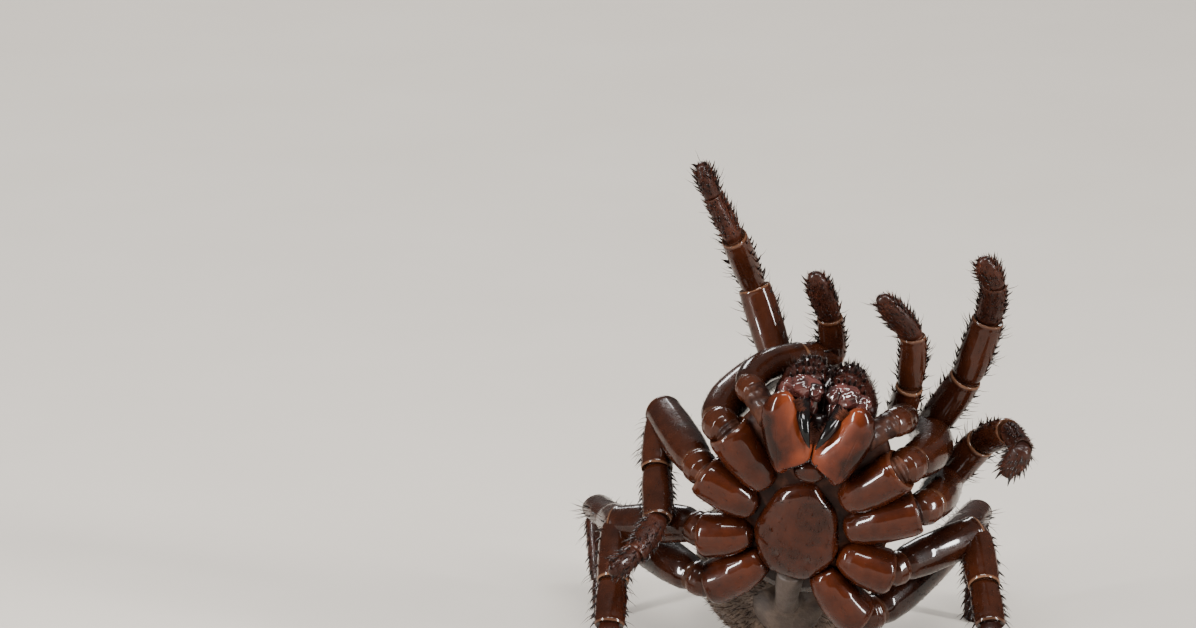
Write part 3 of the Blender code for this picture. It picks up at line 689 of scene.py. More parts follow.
class Segment:
    """One hard piece of a limb between two joints: a bowed middle line, a thickness and a face it shows.

    The middle line is a cubic from joint to joint whose ends lean towards the neighbouring pieces' lines, so
    that a limb bends softly. Each cross-section is an ellipse, wide across and deep along front.
    """

    def __init__(self, kind, start, end, radius, face, bow=NOTHING, flat=(1.0, 1.0)):
        self.kind, self.start, self.end = kind, start, end
        self.radius, self.bow, self.flat = radius, bow, flat
        self.length = float(np.linalg.norm(end - start))
        self.along = (end - start) / self.length
        self.first_way = self.last_way = self.along
        across = np.cross(self.along, face)
        if np.linalg.norm(across) < 0.4:
            across = np.cross(self.along, UP)
        self.across = unit(across)

    def follow(self, before):
        """Lean this piece's start and the last piece's end towards each other where the joint is open."""
        straight = float(before.along @ self.along)
        share = 0.34 * float(smooth_step(straight, 0.25, 0.7))
        between = unit(before.along + self.along) * share * 2
        self.first_way = unit(self.along * (1 - share) + between)
        before.last_way = unit(before.along * (1 - share) + between)

    def middle(self, t):
        """Points on the middle line, carried on straight past both joints."""
        t = np.asarray(t, float)[..., None]
        inside = np.clip(t, 0, 1)
        square, cube = inside**2, inside**3
        first, last = self.first_way * self.length, self.last_way * self.length
        line = (
            self.start * (2 * cube - 3 * square + 1) + first * (cube - 2 * square + inside)
            + self.end * (3 * square - 2 * cube) + last * (cube - square)
        )
        past = first * np.minimum(t, 0) + last * np.maximum(t - 1, 0)
        return line + past + self.bow * np.sin(pi * inside)

    def frame_at(self, t):
        """Directions along, across and to the front at places on the middle line."""
        t = np.asarray(t, float)
        along = unit(self.middle(t + 0.01) - self.middle(t - 0.01))
        across = unit(self.across - along * (along @ self.across)[..., None])
        return along, across, np.cross(across, along)

    def offsets(self, t, angle):
        """From the middle line to the ellipse at unit thickness: 0 is across, a quarter turn is the front."""
        _, across, front = self.frame_at(t)
        angle = np.asarray(angle, float)[..., None]
        return across * np.cos(angle) * self.flat[0] + front * np.sin(angle) * self.flat[1]

    def out(self, t, angle):
        """Directions straight out of the shell."""
        _, across, front = self.frame_at(t)
        angle = np.asarray(angle, float)[..., None]
        return unit(across * np.cos(angle) / self.flat[0] + front * np.sin(angle) / self.flat[1])

    def thickness(self, t):
        """The radius at places on the middle line."""
        return self.radius * np.interp(t, *PROFILES[self.kind])

    def surface(self, t, angle):
        """Points on the shell."""
        return self.middle(t) + self.offsets(t, angle) * self.thickness(t)[..., None]

    def shell(self):
        """The segment's skin: a domed root inside the last segment, a body, and a rolled rim or domed tip."""
        is_tip = self.kind == "tarsus"
        even = np.linspace(0, 1, SEGMENT_ALONG)
        body = 0.3 * even + 0.7 * (0.5 - 0.5 * np.cos(pi * even))
        depth = self.radius / self.length
        past, past_share = (DOMED_TIP if is_tip else ROLLED_RIM).T
        t = np.concatenate([depth * ROOT_RINGS[:, 0], body, 1 + depth * past])
        share = np.concatenate([ROOT_RINGS[:, 1], np.ones(SEGMENT_ALONG), past_share])
        left = (1 - t) * self.length
        if not is_tip:
            share = share * (1 + 0.035 * hump((left - 0.1) / 0.09))
        angle = around_angles(SEGMENT_AROUND)
        uneven = 1 + 0.012 * np.sin(3 * angle + 1.0) + 0.01 * np.sin(2 * angle - 0.6)
        radius = (share * self.thickness(t))[:, None] * uneven
        rings = self.middle(t)[:, None] + self.offsets(t[:, None], angle[None]) * radius[..., None]
        # Pale bands at the segment's end and root: partly paler shell, partly a painted highlight on the
        # joint's edge
        edge = RIMS[self.kind] * smooth_step(-left, -RIM_WIDTH, -RIM_WIDTH * 0.5)
        root = ROOT_RIMS.get(self.kind, 0.0) * (1 - smooth_step(t * self.length, 0.02, 0.12))
        rim = np.clip(edge + root, 0, 1)[:, None]
        return closed_skin(rings, TONES[self.kind] + 0.14 * np.sin(angle + 0.5), rim)


def joint_sleeve(before, after):
    """Wrinkled soft skin round a joint, along the bend from one segment into the next."""
    radius = SLEEVE_SHARE * min(before.radius, after.radius)
    reach = 0.5 * radius
    middle = after.start
    t, path, along = bent_path(
        middle - before.last_way * reach, middle, middle + after.first_way * reach, 26,
    )
    across = unit(after.across - along * (along @ after.across)[:, None])
    folds = 1 + 0.03 * np.sin(t * 11 * pi) + 0.015 * np.sin(t * 23 * pi)
    size = radius * folds * np.where((t < 0.02) | (t > 0.98), 0.6, 1.0)
    return tube(path, along, across, size[:, None], 32, 0.2, after.flat)


def palp_neck(first, side):
    """Folded skin from the palp's base to its first piece, with slanting folds."""
    root = to_world(mirrored(PALP_NECK_ROOT, side))
    t, path, along = bent_path(root, first.start, first.middle(0.35), 24)
    angle = around_angles(36)[:, None]
    slanted = t[:, None] * 7 * pi + 0.9 * np.sin(angle) + 1.4 * np.cos(2 * angle)
    size = PALP_NECK_RADIUS * (1 + 0.03 * np.sin(slanted) + 0.015 * np.sin(2.3 * slanted + 1))
    return tube(path, along, unit(np.cross(along, BELLY_WAY)), size, 36, 0.1)


def joints_of(limb):
    """World positions of a limb's joints, from the coxa's outer end to the tarsus' tip.

    A standing limb's elbow follows from the knee, the foot and the lengths between them, as in a triangle.
    """
    kind, side = limb.rsplit("_", 1)
    lengths = LENGTHS[kind]
    points = [to_world(mirrored(LIMB_ROOTS[limb], side))]
    if limb in RAISED:
        for length, angles in zip(lengths, RAISED[limb]):
            if angles:
                points.append(points[-1] + direction(*angles) * length)
        return points
    angles, knee, foot = STANDING[limb]
    trochanter = points[0] + direction(*angles) * lengths[0]
    knee = trochanter + unit(knee - trochanter) * lengths[1]
    upper, lower = lengths[2] + lengths[3], lengths[4] + lengths[5]
    line, reach = unit(foot - knee), float(np.linalg.norm(foot - knee))
    along = (upper**2 - lower**2 + reach**2) / (2 * reach)
    rise = sqrt(max(upper**2 - along**2, 0.0))
    outward = UP + unit((line[0], line[1], 0)) * KNEE_OUTWARD
    elbow = knee + line * along + unit(outward - line * outward.dot(line)) * rise
    return points + [
        trochanter, knee, knee + (elbow - knee) * lengths[2] / upper,
        elbow, elbow + (foot - elbow) * lengths[4] / lower, np.array(foot),
    ]


def limb_segments(limb):
    """A limb's segments in order, with the coxa first on a leg."""
    kind, side = limb.rsplit("_", 1)
    joints = joints_of(limb)
    sizes = [size for size, length in zip(zip(SEGMENTS, RADII[kind]), LENGTHS[kind]) if length]
    segments = []
    if kind != "palp":
        inner = to_world(mirrored(COXA_ROOTS[kind], side))
        segments.append(Segment("coxa", inner, joints[0], COXA_RADIUS * COXA_FULLNESS, BELLY_WAY))
    face = -UP if limb in STANDING else BELLY_WAY
    flatness = EDGE_ON if limb == "leg_1_right" else FLATNESS
    for (name, radius), start, end in zip(sizes, joints, joints[1:]):
        bow = BODY @ mirrored((FEMUR_BOW.get(limb, 0.0), 0, 0), side) if name == "femur" else NOTHING
        segments.append(Segment(name, start, end, radius, face, bow, flatness.get(name, (1.0, 1.0))))
    for before, after in zip(segments, segments[1:]):
        after.follow(before)
    return segments


# Each node of a limb: the segments in it, its look and its slot
NODE_PARTS = {
    "coxa": (("coxa",), BELLY_SHELL, "belly_shell"),
    "femur": (("trochanter", "femur"), LIMB_SHELL, "shell"),
    "tibia": (("patella", "tibia"), LIMB_SHELL, "shell"),
    "tarsus": (("metatarsus", "tarsus"), OUTER_SHELL, "shell"),
}
OUTER_SEGMENTS = ("patella", "tibia", "metatarsus", "tarsus")
FOOT_SEGMENTS = ("metatarsus", "tarsus")


def footing(segments, index, t, angle):
    """Where hairs stand on a segment: points on its shell, directions out and along, places on the unwrap.

    The unwrap has a strip for each segment, with the angle across it and t upwards.
    """
    piece = segments[index]
    strip = 1 / len(segments)
    across = strip * (index + 0.04 + 0.92 * (angle % (2 * pi)) / (2 * pi))
    place = np.stack([across, 0.02 + 0.96 * t], -1)
    return piece.surface(t, angle), piece.out(t, angle), piece.frame_at(t)[0], place


def limb_hair(segments, chance, count, length, radius, lean, band=None, kinds=OUTER_SEGMENTS):
    """Bristles over the segments of these kinds, leaning to the limb's tip.

    Their number is count times a segment's length and radius. A band is how far they spread from its sides.
    """
    skins = []
    for index, piece in enumerate(segments):
        if piece.kind not in kinds:
            continue
        number = int(count * piece.length * piece.radius * (1 if band is None else band))
        t = chance.uniform(0.05, 0.97, number)
        if band is None:
            angle = chance.uniform(0, 2 * pi, number)
        else:
            angle = chance.integers(0, 2, number) * pi + chance.normal(0.1, band, number)
        surface, out, along, place = footing(segments, index, t, angle)
        ways = out + along * lean * chance.uniform(0.6, 1.4, (number, 1)) + chance.normal(0, 0.16, out.shape)
        bends = along * chance.uniform(0.1, 0.35, (number, 1)) - out * 0.12
        sizes = length * chance.uniform(0.55, 1.25, number)
        widths = radius * chance.uniform(0.8, 1.2, number)
        skins.append(thorns(surface - out * 0.05, ways, bends, sizes, widths, uv=place))
    return joined(skins)


def limb_spines(kind, segments, chance):
    """Stout spines in rows along both sides of the outer segments, bent towards the tip.

    The foot's segments have shorter ones, set at random on both faces, too.
    """
    wanted = dict(zip(OUTER_SEGMENTS, SPINES[kind]))
    rows = [start + sign * radians(row) for start, sign in ((0, 1), (pi, -1)) for row in SPINE_ROWS]
    skins = []
    for index, piece in enumerate(segments):
        count = wanted.get(piece.kind, 0)
        if not count:
            continue
        step = (np.arange(count) + 0.5) / count
        t = np.concatenate([0.06 + 0.86 * (step + shift / count) for shift in (-0.25, 0.25)] * 2)
        t = np.clip(t + chance.normal(0, 0.02, len(t)), 0.04, 0.96)
        angle = np.repeat(rows, count) + chance.normal(0, 0.1, len(t))
        surface, out, along, place = footing(segments, index, t, angle)
        ways = out * 0.8 + along * chance.uniform(0.4, 0.9, (len(t), 1)) + chance.normal(0, 0.08, out.shape)
        bends = along * 0.3 - out * 0.15
        sizes = SPINE_LENGTH * chance.uniform(0.7, 1.2, len(t)) + 0.1
        skins.append(thorns(surface - out * 0.1, ways, bends, sizes, SPINE_RADIUS, SPINE_PROFILE, 6, place))
        if piece.kind in FOOT_SEGMENTS:
            number = FACE_SPINES * count
            t = chance.uniform(0.06, 0.96, number)
            angle = chance.choice((-pi / 2, pi / 2), number) + chance.normal(0, 0.6, number)
            surface, out, along, place = footing(segments, index, t, angle)
            ways = out * 0.75 + along + chance.normal(0, 0.12, out.shape)
            sizes = SPINE_LENGTH * chance.uniform(0.55, 0.95, number)
            roots, width = surface - out * 0.03, SPINE_RADIUS * 0.6
            skins.append(thorns(roots, ways, -out * 0.1, sizes, width, SPINE_PROFILE, 5, place))
    return joined(skins)


def limb_claws(limb, segments):
    """A leg's two long claws and small middle one, or a palp's single claw, each curved to the underside."""
    last = segments[-1]
    along, _, down = last.frame_at(np.array(1.0))
    tip = last.end
    if limb in STANDING:
        along, down, tip = unit(along * (1, 1, 0)), -0.3 * UP, tip + 0.3 * UP
    spreads = np.array((0.0,) if limb.startswith("palp") else (-CLAW_SPREAD, 0.0, CLAW_SPREAD))[:, None]
    shares = np.where((spreads[:, 0] == 0) & (len(spreads) > 1), 0.5, 1.0)
    across = unit(np.cross(along, down))
    roots = tip - along * 0.15 + across * spreads * 0.35
    ways = along + across * spreads * 0.7 - down * 0.35
    bends = np.broadcast_to(down * 0.8, roots.shape)
    return thorns(roots, ways, bends, CLAW_LENGTH * shares, CLAW_RADIUS * shares, CLAW_PROFILE, 8)


def build_limb(limb, number):
    """All the pieces of one limb."""
    kind, side = limb.rsplit("_", 1)
    chance = np.random.default_rng(LIMB_SEED + number)
    segments = limb_segments(limb)
    for part, (kinds, look, slot) in NODE_PARTS.items():
        shells = [piece.shell() for piece in segments if piece.kind in kinds]
        if shells:
            node = f"{kind}_{part}_{side}"
            add_piece(f"{node}_shell", on_floor(joined(shells)), look, [node])
    sleeves = [joint_sleeve(before, after) for before, after in zip(segments, segments[1:])]
    if kind == "palp":
        sleeves.append(palp_neck(segments[0], side))
    add_piece(f"{limb}_joint_skin", joined(sleeves), JOINT_SKIN)
    add_piece(f"{limb}_spines", on_floor(limb_spines(kind, segments, chance)), SPINE_SHELL)
    add_piece(f"{limb}_claws", on_floor(limb_claws(limb, segments)), SPINE_SHELL)
    every = [piece.kind for piece in segments]
    half = BRISTLE_LENGTH * 0.5
    thin, fine = BRISTLE_RADIUS * 0.7, BRISTLE_RADIUS * 0.85
    short = limb_hair(segments, chance, BRISTLE_DENSITY, half, thin, lean=1.5, kinds=every)
    long = limb_hair(
        segments, chance, BRISTLE_DENSITY, BRISTLE_LENGTH * 1.25, BRISTLE_RADIUS, lean=0.55, band=0.4,
    )
    down = limb_hair(segments, chance, DOWN_DENSITY, half, fine, lean=1.6, kinds=FOOT_SEGMENTS)
    add_piece(f"{limb}_hair", on_floor(joined([short, long])), DARK_HAIR)
    add_piece(f"{limb}_down", on_floor(down), RED_HAIR)


# The carapace's pit, and its grooves: angle from straight ahead, and depth
PIT_Y = -0.55
PIT_DEPTH, MOUND_HEIGHT = 0.5, 0.26
GROOVES = ((0.62, 0.22), (1.15, 0.1), (1.7, 0.1), (2.25, 0.1), (2.75, 0.07))
GROOVE_WIDTH = 0.095

# Rings under the carapace's rim: scale and height over the margin
CARAPACE_HEM = ((1.012, 0.02), (1.01, -0.1), (0.985, -0.2), (0.9, -0.14), (0.7, -0.1))


def carapace_detail(x, y):
    """Height of the detailed carapace: eye mound, pit of the back, grooves by the head and to the legs."""
    mound = oval(x, y, (0, 3.9), (1.5, 0.75))
    pit = oval(x, y + 0.28 * x**2, (0, PIT_Y), (1.05, 0.16))
    reach = np.hypot(x, y + 0.6)
    angle = np.arctan2(np.abs(x), y + 0.6)
    fade = smooth_step(reach, 0.8, 1.8) * (1 - smooth_step(reach, 3.4, 4.6))
    grooves = sum(depth * hump((angle - middle) / GROOVE_WIDTH) for middle, depth in GROOVES) * fade
    return carapace_height(x, y) + MOUND_HEIGHT * mound - PIT_DEPTH * pit - grooves


def carapace():
    """The back plate: rings from its top out to the rim, over the front wall, and in below."""
    angle = around_angles(180)
    way_x, way_y = np.cos(angle), np.sin(angle)
    trial = np.linspace(0.05, 7.0, 400)
    y = way_y[:, None] * trial
    inside = (carapace_height(way_x[:, None] * trial, y) > CARAPACE_MARGIN + 0.01) & (y < CARAPACE_FRONT)
    edge = trial[inside.sum(1) - 1]
    share = np.sin(np.linspace(0.02, 1, 64) * pi / 2)[:, None]
    x, y = share * edge * way_x, share * edge * way_y
    top = np.stack([x, y, carapace_detail(x, y) - 0.22 * smooth_step(y, 4.1, CARAPACE_FRONT) ** 2], -1)
    scale, level = np.array(CARAPACE_HEM).T[:, :, None]
    hem_y = np.minimum(y[-1] * scale, CARAPACE_FRONT + 0.02)
    below = np.stack([x[-1] * scale, hem_y, 0 * angle + CARAPACE_MARGIN + level], -1)
    rings = np.concatenate([top, below])
    rim = np.zeros(rings.shape[:2])
    rim[-len(CARAPACE_HEM):-2] = 0.25
    tone = 0.18 + 0.3 * hump((rings[..., 1] - 1.0) / 3.0) * (rings[..., 2] > 2.0)
    return placed(closed_skin(rings, tone, rim))


def carapace_hair(chance):
    """A few bristles along the head's middle and round the eyes, and short down over the rest."""
    number = 900
    x = chance.normal(0, 1.9, number)
    y = chance.uniform(-4.2, 4.5, number)
    keep = carapace_height(x, y) > CARAPACE_MARGIN + 0.9
    x, y = x[keep], y[keep]
    step = 0.02
    slope_x = (carapace_detail(x + step, y) - carapace_detail(x - step, y)) / (2 * step)
    slope_y = (carapace_detail(x, y + step) - carapace_detail(x, y - step)) / (2 * step)
    out = unit(np.stack([-slope_x, -slope_y, np.ones_like(x)], -1))
    roots = np.stack([x, y, carapace_detail(x, y)], -1) - out * 0.04
    near = hump(x / 0.5) * smooth_step(y, 0.0, 4.0) + oval(x, y, (0, 4.3), (1.5, 0.6))
    length = 0.16 + 0.55 * near
    width = 0.012 + 0.014 * np.clip(near, 0, 1)
    place = np.stack([0.5 + x / 10, 0.5 + y / 12], -1)
    lengths = (length * 0.7, length * 1.3)
    return body_hair(chance, "right", roots, out, (0, 0.9, 0), 0.2, lengths, (0, 0.2, -0.05), width, place)


# Dents of the sternum: middle and depth
STERNUM_DENTS = (((0.85, -1.35), 0.12), ((1.3, -0.1), 0.07), ((1.15, 1.15), 0.05))


def sternum():
    """The breast plate: a low shield with a wavy edge and three pairs of oval dents."""
    half_x, half_y, half_z = STERNUM_HALF
    angle = around_angles(120)
    share = np.sin(np.linspace(0.02, 1, 46) * pi / 2)[:, None]
    flat_x, flat_y = share * np.cos(angle), share * np.sin(angle)
    waves = 1 + 0.022 * np.cos(7 * angle + 0.6) * share**6
    x = half_x * flat_x * (1 - STERNUM_TAPER * flat_y) * waves
    y = half_y * flat_y * waves
    dome = np.sqrt(np.clip(1 - share**2, 0, 1)) * np.ones_like(angle)
    dents = sum(depth * oval(np.abs(x), y, middle, (0.19, 0.34)) for middle, depth in STERNUM_DENTS)
    z = STERNUM_MIDDLE_Z - half_z * dome**0.8 + dents
    back = np.stack([x[::-1] * 0.96, y[::-1] * 0.96, np.full_like(z, STERNUM_MIDDLE_Z + 0.5)], -1)[1::6]
    return placed(closed_skin(np.concatenate([np.stack([x, y, z], -1), back]), 0.5))


def sternum_hair(chance):
    """Sparse bristles over the sternum."""
    number = 110
    angle, share = chance.uniform(0, 2 * pi, number), np.sqrt(chance.uniform(0.05, 0.96, number))
    flat = np.stack([share * np.cos(angle), share * np.sin(angle)], -1)
    x = STERNUM_HALF[0] * flat[:, 0] * (1 - STERNUM_TAPER * flat[:, 1])
    dome = np.sqrt(np.clip(1 - share**2, 0, 1)) ** 0.8
    z = STERNUM_MIDDLE_Z - STERNUM_HALF[2] * dome + 0.05
    roots = np.stack([x, STERNUM_HALF[1] * flat[:, 1], z], -1)
    out = unit(np.stack([flat[:, 0] * 0.6, flat[:, 1] * 0.6, -dome - 0.2], -1))
    return body_hair(
        chance, "right", roots, out, (0, 0.7, 0), 0.2, (0.2, 0.5), (0, 0.15, 0.1), 0.018, 0.5 + flat * 0.45,
    )


def labium():
    """The lip plate: a small dome, narrower in front."""
    x, y, z = ball_rings(30, 48)
    return placed(closed_skin(np.stack([x * (1 - 0.15 * y), y, z], -1) * LABIUM_HALF + LABIUM_MIDDLE, 0.55))


def spline_loop(knots, count):
    """A smooth closed outline near its knots: a uniform cubic B-spline."""
    total = len(knots)
    place = np.linspace(0, total, count, endpoint=False)
    base = place.astype(int)
    t = (place - base)[:, None]
    weights = (
        (1 - t) ** 3 / 6, (3 * t**3 - 6 * t**2 + 4) / 6, (-3 * t**3 + 3 * t**2 + 3 * t + 1) / 6, t**3 / 6,
    )
    return sum(weight * knots[(base + step - 1) % total] for step, weight in enumerate(weights))


def maxilla_point(outline, turn):
    """Where the palp base's cushion lies inside its outline, turn running from its ridge to its back.

    Each outline point is drawn towards the nearest point of the ridge line by sin(turn), and the height
    follows cos(turn): quarter ellipses that meet in a long rounded ridge.
    """
    first, last = MAXILLA_RIDGE
    line = last - first
    share = np.clip((outline - first) @ line / (line @ line), 0, 1)[..., None]
    ridge = first + line * share
    flat = ridge + (outline - ridge) * np.sin(turn)[..., None] * 0.98
    middle, half = (MAXILLA_TOP + MAXILLA_BOTTOM) / 2, (MAXILLA_TOP - MAXILLA_BOTTOM) / 2
    belly_side = turn < pi / 2
    crest = (1.2 - np.sqrt(np.sin(turn) ** 2 + 0.04)) * belly_side
    rise = 0.32 - 0.85 * smooth_step(flat[..., 1], 4.3, 8.2)
    z = middle - half * (np.cos(turn) * (1 + rise * belly_side) + 0.3 * crest)
    return np.stack([soft_floor(flat[..., 0], MAXILLA_SEAM, 0.04), flat[..., 1], z], -1)


# Where a palp base's orange inner edge ends: rows of y and of x
INNER_EDGE = ((3.3, 4.6, 5.5, 6.6, 7.95), (1.0, 0.2, 0.15, 0.75, 1.35))
MAXILLA_ALONG, MAXILLA_ACROSS = 60, 130


def maxilla(side):
    """A palp's base: a cushion over its outline with a ridge, orange along its inner edge, dark outside."""
    shape = (MAXILLA_ALONG, MAXILLA_ACROSS, 2)
    outline = np.broadcast_to(spline_loop(MAXILLA_OUTLINE, MAXILLA_ACROSS), shape)
    turn = np.linspace(0.02, pi - 0.02, MAXILLA_ALONG)[:, None] * np.ones(MAXILLA_ACROSS)
    rings = maxilla_point(outline, turn)
    y = rings[..., 1]
    past = rings[..., 0] - np.interp(y, *INNER_EDGE)
    inner = 1 - smooth_step(past, 0.2, 1.0)
    tone = 0.38 + 0.4 * inner - 0.42 * smooth_step(past, 1.0, 1.8) + 0.2 * hump((y - 4.2) / 0.8)
    return placed(closed_skin(rings, tone, inner**1.5 * smooth_step(y, 4.3, 5.4)), side)


def maxilla_surface(share, angle_share):
    """Points on the belly side of the right palp base: share is 0 at its ridge and 1 at its outline."""
    fine = 440
    outline = spline_loop(MAXILLA_OUTLINE, fine)[(angle_share * fine).astype(int) % fine]
    return maxilla_point(outline, share * pi / 2)


def fringe(side, chance):
    """Reddish hair along a palp base's inner edge, pointing over the mouth."""
    number = 420
    along = chance.uniform(0.72, 1.02, number)
    roots = maxilla_surface(chance.uniform(0.82, 1.0, number), along)
    ways = np.array((-0.8, 0.5, -0.35)) + chance.normal(0, 0.22, roots.shape)
    lengths = chance.uniform(0.25, 0.6, number)
    place = np.stack([along % 1, chance.uniform(0.1, 0.9, number)], -1)
    return body_thorns(side, roots, ways, (0, 0.25, 0.1), lengths, 0.018, uv=place)


def cuspules(side, chance):
    """Tiny black pegs on a palp base's inner corner."""
    number = 34
    angle_share = chance.uniform(0.96, 1.12, number)
    roots = maxilla_surface(chance.uniform(0.45, 0.8, number), angle_share)
    ways = np.tile((-0.1, -0.1, -1.0), (number, 1)) @ BODY.T
    lengths = chance.uniform(0.07, 0.1, number)
    return thorns(to_world(mirrored(roots, side)), ways, ways * 0, lengths, 0.045, PEG_PROFILE, 7)


def chelicera_surface(x, y, z):
    """Where points of the unit sphere lie on the right jaw, a blunt dome with a flat side and underside."""
    fuller = np.sqrt((1 - np.abs(y) ** 3 + 1e-6) / (1 - y**2 + 1e-6))
    x, z = x * fuller, z * fuller
    boxy = (x**4 + z**4 + y**2 + 1e-9) ** -0.12
    points = CHELICERA_MIDDLE + CHELICERA_HALF * np.stack([x * boxy, y, z * boxy], -1)
    points[..., 2] -= 0.1 * y
    points[..., 0] -= 0.32 * smooth_step(y, 0.3, 0.97)
    points[..., 0] = soft_floor(points[..., 0], 0.03, 0.07)
    points[..., 2] = soft_floor(points[..., 2], CHELICERA_BOTTOM, 0.12)
    return points


def chelicera(side):
    """Half of the jaws, bulging and uneven, with a trough on its underside for the fang."""
    x, y, z = ball_rings(110, 100)
    keep = y[:, 0] > -0.12
    x, y, z = x[keep], y[keep], z[keep]
    points = chelicera_surface(x, y, z)
    a, b, c = np.moveaxis(points, -1, 0)
    large = 0.05 * np.sin(a * 4.1 + b * 2.7) * np.sin(b * 3.9 + c * 3.1)
    lumps = large + 0.02 * np.sin(a * 9 + c * 7) * np.sin(b * 11)
    points[..., 2] += lumps * smooth_step(z, -0.4, 0.3)
    points[..., 0] += 0.4 * lumps * smooth_step(x, 0.0, 0.5)
    points[..., 2] += 0.22 * hump((a - 0.7) / 0.35) * smooth_step(b, 4.6, 5.4) * (z < -0.2)
    return placed(closed_skin(points, 0.25 + 0.35 * hump((z + 0.6) / 0.5)), side)


# Rows of digging teeth on the unit sphere of a jaw: first and last x, z and number
DIGGER_ROWS = ((0.5, -0.75, -0.32, 9), (0.42, -0.66, -0.08, 8), (0.3, -0.5, 0.2, 6))


def digging_teeth(side, chance):
    """Short black thorns over the end of a jaw, in uneven rows."""
    x = np.concatenate([np.linspace(first, last, count) for first, last, _, count in DIGGER_ROWS])
    z = np.concatenate([np.full(count, level) for _, _, level, count in DIGGER_ROWS])
    z = z + chance.normal(0, 0.03, len(x))
    surface = chelicera_surface(x, np.sqrt(np.clip(1 - x**2 - z**2, 0.01, 1)), z)
    ways = np.stack([0.3 * x, np.full_like(x, 0.9), np.full_like(x, -0.3)], -1)
    ways = ways + chance.normal(0, 0.12, ways.shape)
    lengths = chance.uniform(0.42, 0.7, len(x))
    roots = surface - unit(ways) * 0.15
    return body_thorns(side, roots, ways, (0, 0.05, -0.15), lengths, 0.1, DIGGER_PROFILE, 7)


def jaw_teeth(side):
    """A row of small black teeth along the inner edge of the fang's trough."""
    y = np.linspace(5.3, 7.2, 8)
    roots = np.stack([np.full_like(y, 0.28), y, np.full_like(y, CHELICERA_BOTTOM + 0.12)], -1)
    ways = np.tile((0.1, 0.0, -1.0), (len(y), 1))
    return body_thorns(side, roots, ways, NOTHING, 0.34 + 0.08 * np.cos(y * 3), 0.1, TOOTH_PROFILE, 7)


def jaw_hair(side, chance):
    """Dark bristles over the jaw's back and end."""
    number = 200
    x, z = chance.uniform(-0.95, 0.95, number), chance.uniform(-0.3, 0.95, number)
    keep = x**2 + z**2 < 0.97
    x, z = x[keep], z[keep]
    y = np.sqrt(1 - x**2 - z**2)
    out = unit(np.stack([x, y * 0.6, z], -1))
    roots = chelicera_surface(x, y, z) - out * 0.05
    place = np.stack([0.5 + x * 0.45, 0.5 + z * 0.45], -1)
    return body_hair(chance, side, roots, out, (0, 0.9, 0), 0.18, (0.15, 0.5), (0, 0.15, -0.1), 0.02, place)


def fang(side):
    """A smooth black hook, thick at its root, with a keel along it, that curves down over the mouth."""
    t = np.linspace(0, 1, 60)
    bend = np.sin(t * 0.62 * pi)
    down = CHELICERA_BOTTOM - 0.3 - FANG_DEPTH * bend + 0.3 * (1 - smooth_step(t, 0.0, 0.12))
    ahead = FANG_ROOT[1] - FANG_LENGTH * t**1.3 + 0.25 * bend
    path = np.stack([FANG_ROOT[0] + 0.5 - 0.92 * t, ahead, down], -1)
    along = unit(np.gradient(path, axis=0))
    angle = around_angles(30)[:, None]
    size = (FANG_RADIUS - 0.06) * (1 - t) ** 0.8 + 0.02
    keel = 1 + 0.05 * np.cos(2 * angle) + 0.03 * np.cos(5 * angle)
    across = unit(SIDEWAYS - along * along[:, :1])
    return placed(tube(path, along, across, keel * size[:, None, None], 30), side)


def lumpy_ball(middle, half, chance, depth, tone=0.0, count=56):
    """An ellipsoid with folds: its radius varies with a few waves of random lie."""
    shape = np.stack(ball_rings(count, count), -1)
    folds = 0
    for step in range(5):
        way = unit(chance.normal(0, 1, 3))
        folds = folds + np.sin((shape @ way) * (5 + 2 * step) + chance.uniform(0, 6)) / (1.3 + step * 0.7)
    return closed_skin(np.asarray(middle) + shape * np.asarray(half) * (1 + depth * folds[..., None]), tone)


# The folds round a fang's root: middle, half size and tone. The dark tones, on the fold in the middle between
# the jaws and on those at the back, are painted shade in the mouth's hollow
SOCKET_FOLDS = (
    ((1.2, 7.9, 0.1), (0.6, 0.5, 0.52), 0.45),
    ((1.0, 8.15, 0.35), (0.7, 0.3, 0.45), 0.6),
    ((0.5, 7.85, 0.15), (0.46, 0.5, 0.45), 0.12),
    ((1.85, 7.55, 0.2), (0.5, 0.66, 0.5), 0.6),
    ((0.7, 7.25, 0.05), (0.3, 0.4, 0.36), 0.4),
    ((1.55, 7.0, 0.2), (0.42, 0.4, 0.38), 0.0),
    ((0.5, 6.8, 0.1), (0.4, 0.7, 0.36), 0.0),
    ((1.15, 6.5, 0.15), (0.6, 0.6, 0.4), 0.0),
)


def fang_socket(side, chance):
    """Wet folded skin where the fang leaves the jaw: large pale folds in front and dark ones behind, whose
    darkness is painted shade in the hollow.
    """
    return placed(joined([
        lumpy_ball(middle, half, chance, 0.085, tone) for middle, half, tone in SOCKET_FOLDS
    ]), side)


def mouth_parts(chance):
    """The soft folded upper lip and mouth between the palp bases, behind the fangs. Its dark colour is
    painted shade in the mouth's hollow.
    """
    lip = lumpy_ball((0.0, 5.3, -0.2), (0.8, 1.5, 0.5), chance, 0.04)
    return placed(joined([lip, lumpy_ball((0.0, 5.9, 1.75), (0.6, 2.25, 1.6), chance, 0.03)]))


def pleura(chance):
    """Soft folded skin between carapace, leg bases and sternum, with a swelling at each palp."""
    skins = [lumpy_ball((0.0, 0.6, 0.35), (3.75, 4.6, 0.95), chance, 0.012, count=80)]
    for sign in (-1, 1):
        skins.append(lumpy_ball((sign * 2.35, 4.75, 0.45), (1.45, 1.7, 0.85), chance, 0.03))
    return placed(joined(skins))


def eye(row, side):
    """A clear dome sunk in the eye mound."""
    size = EYE_RADIUS * EYE_DOMES[row.split("_")[0]]
    return ball(eye_middle(row, side) + BELLY_WAY * 0.1, size, 24, 32, 0.3)


# Rows of dimples on the abdomen's back, and of lung covers on its belly side, by y on the unit sphere
DIMPLE_ROWS = (-0.45, -0.1, 0.25)
LUNG_ROWS = (-0.62, -0.36)


